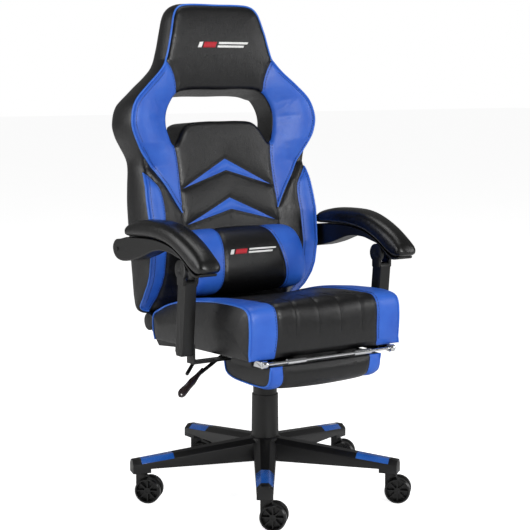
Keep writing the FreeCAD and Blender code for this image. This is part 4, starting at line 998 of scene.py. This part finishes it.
def lumbarBoundary(total, sign=1):
    return roundLine([(sign * x, share * total) for share, x in lumbarInner], 4.6)


def lumbarSeams(total, along, profile):
    return [lumbarBoundary(total, 1), lumbarBoundary(total, -1)]


def lumbarColour(x, t, total, along, profile):
    return outside(lumbarBoundary(total, 1), x, t)


lumbarSurface = wrappedPad("lumbarCover", lumbar, onBack, lumbarRise, lumbarColour, lumbarSeams, "back",
                           "lumbar_cushion")
panelStitches("lumbarStitches", lumbarSurface, lumbarSeams(lumbarSurface.total, None, None), "back")
mark("lumbarMark", lumbarSurface, (-1, lumbarSurface.total * 0.60), 138, "back")
print("lumbar cushion ready")

rest = {
    "step": 4.6,
    "profile": [(-57, 367, 1), (-58, 346), (-66, 326), (-92, 315), (-140, 311), (-200, 310), (-228, 313),
                (-245, 322), (-253, 338), (-254, 354), (-252, 367, 1)],
    "half": 157,
    "puff": 1.5, "puffReach": 18,
    "roll": 5, "rollWide": 14,
    "bulge": 4, "bulgeReach": 14,
    "pressure": 3.0, "cap": 0.004, "holdReach": 12,
    "fill": 0.8,
}


def restRise(x, t, base):
    return 4.0 * (1 - (np.abs(x) / rest["half"]) ** 2) * (base[:, 0] < -200)


def restSeams(total, along, profile):
    return [roundLine([(s * 126, 0), (s * 127, total * 0.5), (s * 123, total * 0.85), (s * 126, total)], 4.6)
            for s in (1, -1)]


def restColour(x, t, total, along, profile):
    return outside(restSeams(total, along, profile)[0], x, t)


restSurface = wrappedPad("footrestCover", rest, asIs, restRise, restColour, restSeams, "footrest",
                         "footrest_pad")
sidePiping("footrestPiping", restSurface, "footrest", 1.9)
print("footrest ready")


# arm pads: one moulded skin swept along the arm

arm = {
    "side": 283, "half": 33,
    "over": [(148, 658), (130, 670), (90, 680), (60, 684), (0, 686), (-40, 684), (-80, 675), (-125, 658),
             (-165, 637), (-195, 614), (-208, 597)],
    "under": [(146, 638), (100, 641), (60, 643), (0, 643), (-60, 634), (-100, 618), (-125, 604), (-150, 588),
              (-170, 581), (-190, 581), (-204, 584)],
    "stations": 64, "around": 32,
}


def armPads():
    count = arm["stations"]

    def even(points):
        line = roundLine(points, 3.0)
        runs = np.concatenate([[0], np.cumsum(np.linalg.norm(np.diff(line, axis=0), axis=1))])
        at = np.linspace(0, runs[-1], count)
        return np.column_stack([np.interp(at, runs, line[:, 0]), np.interp(at, runs, line[:, 1])])

    over, under = even(arm["over"]), even(arm["under"])
    around = arm["around"]
    for name, sign in (("right", -1), ("left", 1)):
        points = []
        for i in range(count):
            share = i / (count - 1)
            near = min(share, 1 - share) * 430
            close = math.sqrt(max(0.0, 1 - max(0.0, 1 - near / (16 if share < 0.5 else 26)) ** 2))
            mid = (over[i] + under[i]) / 2
            tall = np.linalg.norm(over[i] - under[i]) / 2
            up = (over[i] - under[i]) / (2 * tall)
            wide = arm["half"] * (0.90 + 0.10 * math.sin(math.pi * min(1, share * 1.15)))
            for k in range(around):
                a = 2 * math.pi * k / around
                c, s = math.cos(a), math.sin(a)
                power = 2 / 2.9
                x = math.copysign(abs(c) ** power, c) * wide * (0.35 + 0.65 * close)
                h = math.copysign(abs(s) ** (2 / (2.3 if s > 0 else 4)), s) * tall * (0.25 + 0.75 * close)
                x *= 1 - 0.06 * max(0, s)
                # seam line where the skin meets its backing
                pinch = 1 - 0.03 * math.exp(-((s + 0.55) / 0.12) ** 2)
                spot = mid + up * h
                points.append((sign * arm["side"] + x * pinch, spot[0], spot[1]))
        piece = buildMesh("armPad_" + name, np.array(points) / 1000, tubeFaces(count, around), [armSkin])
        closeUp(piece)
        smooth = piece.modifiers.new("smooth", "SUBSURF")
        smooth.levels = 1
        smooth.render_levels = 1
        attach(piece, "arm_" + name)
        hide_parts("arm_pad_" + name)


armPads()
print("arm pads ready")


def roundEdges(piece, width, segments, angle):
    bevel = piece.modifiers.new("edges", "BEVEL")
    bevel.width = width / 1000
    bevel.segments = segments
    bevel.limit_method = "ANGLE"
    bevel.angle_limit = math.radians(angle)
    bevel.harden_normals = True


def finishNode(node, material, width):
    # a copy of a CAD piece with its corners rounded as a mould or a tumbler leaves them
    mesh = nodes[node].data.copy()
    shape = bmesh.new()
    shape.from_mesh(mesh)
    bmesh.ops.remove_doubles(shape, verts=shape.verts, dist=1e-5)
    bmesh.ops.dissolve_limit(shape, angle_limit=math.radians(2), verts=shape.verts, edges=shape.edges)
    shape.to_mesh(mesh)
    shape.free()
    mesh.materials.clear()
    mesh.materials.append(material)
    piece = bpy.data.objects.new(node + "_finished", mesh)
    scene.collection.objects.link(piece)
    mesh.polygons.foreach_set("use_smooth", [True] * len(mesh.polygons))
    roundEdges(piece, width, 2, 28)
    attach(piece, next(body for body, held in bodiesOf.items() if node in held))
    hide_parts(node)


bodiesOf = frame["record"]["behaviour"]["bodies"]
slotOf = {part["node"]: part["material_slot"] for part in frame["record"]["subparts"]}
edges = {
    "star_base": (blackNylon, 1.6), "base_inlays": (blueGloss, 0.8),
    "arm_post_right": (blackPlastic, 4.0), "arm_post_left": (blackPlastic, 4.0),
    "rail_sleeves": (blackPlastic, 1.5), "rail_corners": (chrome, 1.2), "hinge_covers": (blackPlastic, 2.5),
    "tilt_pan": (blackSteel, 1.2), "arm_bracket_right": (blackSteel, 1.0), "arm_bracket_left": (blackSteel, 1.0),
    "hinge_plate_right": (blackSteel, 0.8), "hinge_plate_left": (blackSteel, 0.8),
    "back_plate_right": (blackSteel, 0.8), "back_plate_left": (blackSteel, 0.8),
}
for i in range(1, 6):
    edges["caster_body_%d" % i] = (casterPlastic, 1.2)
for node, (material, width) in edges.items():
    finishNode(node, material, width)

shell = {
    "wide": 46, "round": 7,
    "top": [(-192, 583), (-170, 579), (-150, 586), (-125, 602), (-100, 616), (-60, 632), (0, 641), (60, 641),
            (144, 636)],
    "low": [(176, 629), (196, 625), (208, 608), (200, 588), (178, 578), (140, 579), (76, 594), (8, 616),
            (-48, 619), (-86, 612), (-110, 606), (-137, 589), (-160, 574), (-190, 576)],
}


def armShells():
    ring = roundLine([p + (1,) if i in (0, 8) else p for i, p in enumerate(shell["top"])] +
                     [p + (1,) if i in (0, 13) else p for i, p in enumerate(shell["low"])], 5.0, closed=True)
    flat, faces, ids = cutSheet([ring], [], 9.0)
    for name, sign in (("right", -1), ("left", 1)):
        count = len(flat)
        points = []
        for x in (-shell["wide"] / 2, shell["wide"] / 2):
            points += [(sign * arm["side"] + x, p[0], p[1]) for p in flat]
        blocks = [tuple(f) for f in faces] + [tuple(int(i) + count for i in f[::-1]) for f in faces]
        rim = ids[0]
        for k in range(len(rim)):
            a, b = rim[k], rim[(k + 1) % len(rim)]
            blocks.append((a, b, b + count, a + count))
        piece = buildMesh("armShell_" + name, np.array(points) / 1000, blocks, [blackPlastic])
        closeUp(piece)
        roundEdges(piece, shell["round"], 4, 50)
        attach(piece, "arm_" + name)
        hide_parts("arm_shell_" + name)


armShells()

paddle = {
    "line": [(-170, 15, 321), (-188, 10, 309), (-206, 4, 298), (-222, -1, 288), (-238, -5, 278), (-252, -9, 268)],
    "wide": [(0.0, 9), (0.25, 12), (0.45, 18), (0.62, 17), (0.85, 21), (1.0, 17)],
    "thick": [(0.0, 9), (0.3, 10), (0.6, 12), (1.0, 8)],
    "stations": 26, "around": 16,
}


def leverPaddle():
    # swept grip of the lift lever, waisted between its two finger swells
    line = np.array(paddle["line"], float)
    runs = np.concatenate([[0], np.cumsum(np.linalg.norm(np.diff(line, axis=0), axis=1))])
    shares = np.linspace(0, 1, paddle["stations"])
    mids = np.column_stack([np.interp(shares * runs[-1], runs, line[:, k]) for k in range(3)])
    ahead = np.gradient(mids, axis=0)
    points = []
    count = paddle["around"]
    for i, share in enumerate(shares):
        run = ahead[i] / np.linalg.norm(ahead[i])
        across = np.cross(run, (0.57, 0.82, -0.1))
        across /= np.linalg.norm(across)
        up = np.cross(run, across)
        close = math.sqrt(max(0.04, 1 - max(0.0, (share - 0.9) / 0.1) ** 2))
        wide, thick = table(paddle["wide"], share) / 2 * close, table(paddle["thick"], share) / 2 * close
        for k in range(count):
            a = 2 * math.pi * k / count
            points.append(mids[i] + across * wide * math.cos(a) + up * thick * math.sin(a))
    piece = buildMesh("leverPaddle", np.array(points) / 1000, tubeFaces(len(shares), count), [leverGloss])
    closeUp(piece)
    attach(piece, "lift_handle")
    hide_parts("lift_grip")


leverPaddle()
plain = {"chrome": chrome, "bright_steel": zincSteel, "black_steel": blackSteel, "black_plastic": blackPlastic,
         "caster_plastic": casterPlastic, "lever_plastic": leverGloss, "plywood": plywood, "blue_plastic": blueGloss,
         "black_nylon": blackNylon, "black_leather": blackLeather}
shown = {"footrest_board": chrome, "arm_studs": blackSteel, "knuckle_pin_right": blackSteel,
         "knuckle_pin_left": blackSteel, "arm_foot_pins": blackSteel}
shown.update({"caster_pins_%d" % i: blackSteel for i in range(1, 6)})  # the axle ends are blackened
for node, item in nodes.items():
    item.data.materials.clear()
    item.data.materials.append(shown.get(node, plain[slotOf[node]]))
print("hard pieces ready")


def softLight(name, place, target, size, power):
    light = bpy.data.lights.new(name, "AREA")
    light.shape = "RECTANGLE"
    light.size, light.size_y = size
    light.energy = power
    item = bpy.data.objects.new(name, light)
    item.location = place
    item.rotation_euler = (Vector(target) - Vector(place)).to_track_quat("-Z", "Y").to_euler()
    scene.collection.objects.link(item)


floorMesh = bpy.data.meshes.new("floor")
floorMesh.from_pydata([(-30, -30, 0), (30, -30, 0), (30, 30, 0), (-30, 30, 0)], [], [(0, 1, 2, 3)])
floor = bpy.data.objects.new("floor", floorMesh)
scene.collection.objects.link(floor)
floorLook, floorTree, floorShader, floorPlace = newMaterial("pale studio floor")
cloud = noiseAt(floorTree, floorPlace, 400, 2)
floorTree.links.new(mixColour(floorTree, cloud, "#f4f4f4", "#fafafa"), floorShader.inputs["Base Color"])
floorShader.inputs["Roughness"].default_value = 1.0
floorShader.inputs["Specular IOR Level"].default_value = 0.0
floorShader.inputs["Emission Color"].default_value = (1, 1, 1, 1)
eye = addNode(floorTree, "ShaderNodeLightPath")
glow = spread(floorTree, eye.outputs["Is Camera Ray"], 0.0, 0.8)
floorTree.links.new(glow, floorShader.inputs["Emission Strength"])
floorMesh.materials.append(floorLook)

world = bpy.data.worlds.new("studio") if not bpy.data.worlds else bpy.data.worlds[0]
scene.world = world
world.use_nodes = True
world.node_tree.nodes.clear()
seen = addNode(world.node_tree, "ShaderNodeLightPath")
strength = spread(world.node_tree, seen.outputs["Is Camera Ray"], 0.17, 1.0)
sky = addNode(world.node_tree, "ShaderNodeBackground", {"Color": (1, 1, 1, 1)}, {"Strength": strength})
addNode(world.node_tree, "ShaderNodeOutputWorld", links={"Surface": sky.outputs[0]})
softLight("key", (-0.6, -4.2, 2.3), (0, 0, 0.7), (1.2, 1.5), 125)
softLight("fill", (3.4, -2.4, 1.8), (0, 0, 0.6), (1.2, 1.6), 36)
softLight("side", (-3.5, 1.5, 1.7), (0, 0, 0.6), (2.6, 2.4), 70)
softLight("top", (0.3, 0.4, 3.6), (0, 0, 0.5), (1.4, 1.4), 20)

camera = bpy.data.cameras.new("camera")
camera.lens = 99.71
camera.sensor_width = 36
cameraItem = bpy.data.objects.new("camera", camera)
azimuth, pitch = math.radians(-34.58), math.radians(-7.41)
away = 3.540            # metres from the gas lift's axis
cameraItem.location = (away * math.sin(azimuth), -away * math.cos(azimuth), 1.022)
ahead = Vector((-math.sin(azimuth) * math.cos(pitch), math.cos(azimuth) * math.cos(pitch), math.sin(pitch)))
cameraItem.rotation_euler = ahead.to_track_quat("-Z", "Y").to_euler()
scene.collection.objects.link(cameraItem)
scene.camera = cameraItem
scene.view_settings.view_transform = "Standard"
scene.frame_set(1)
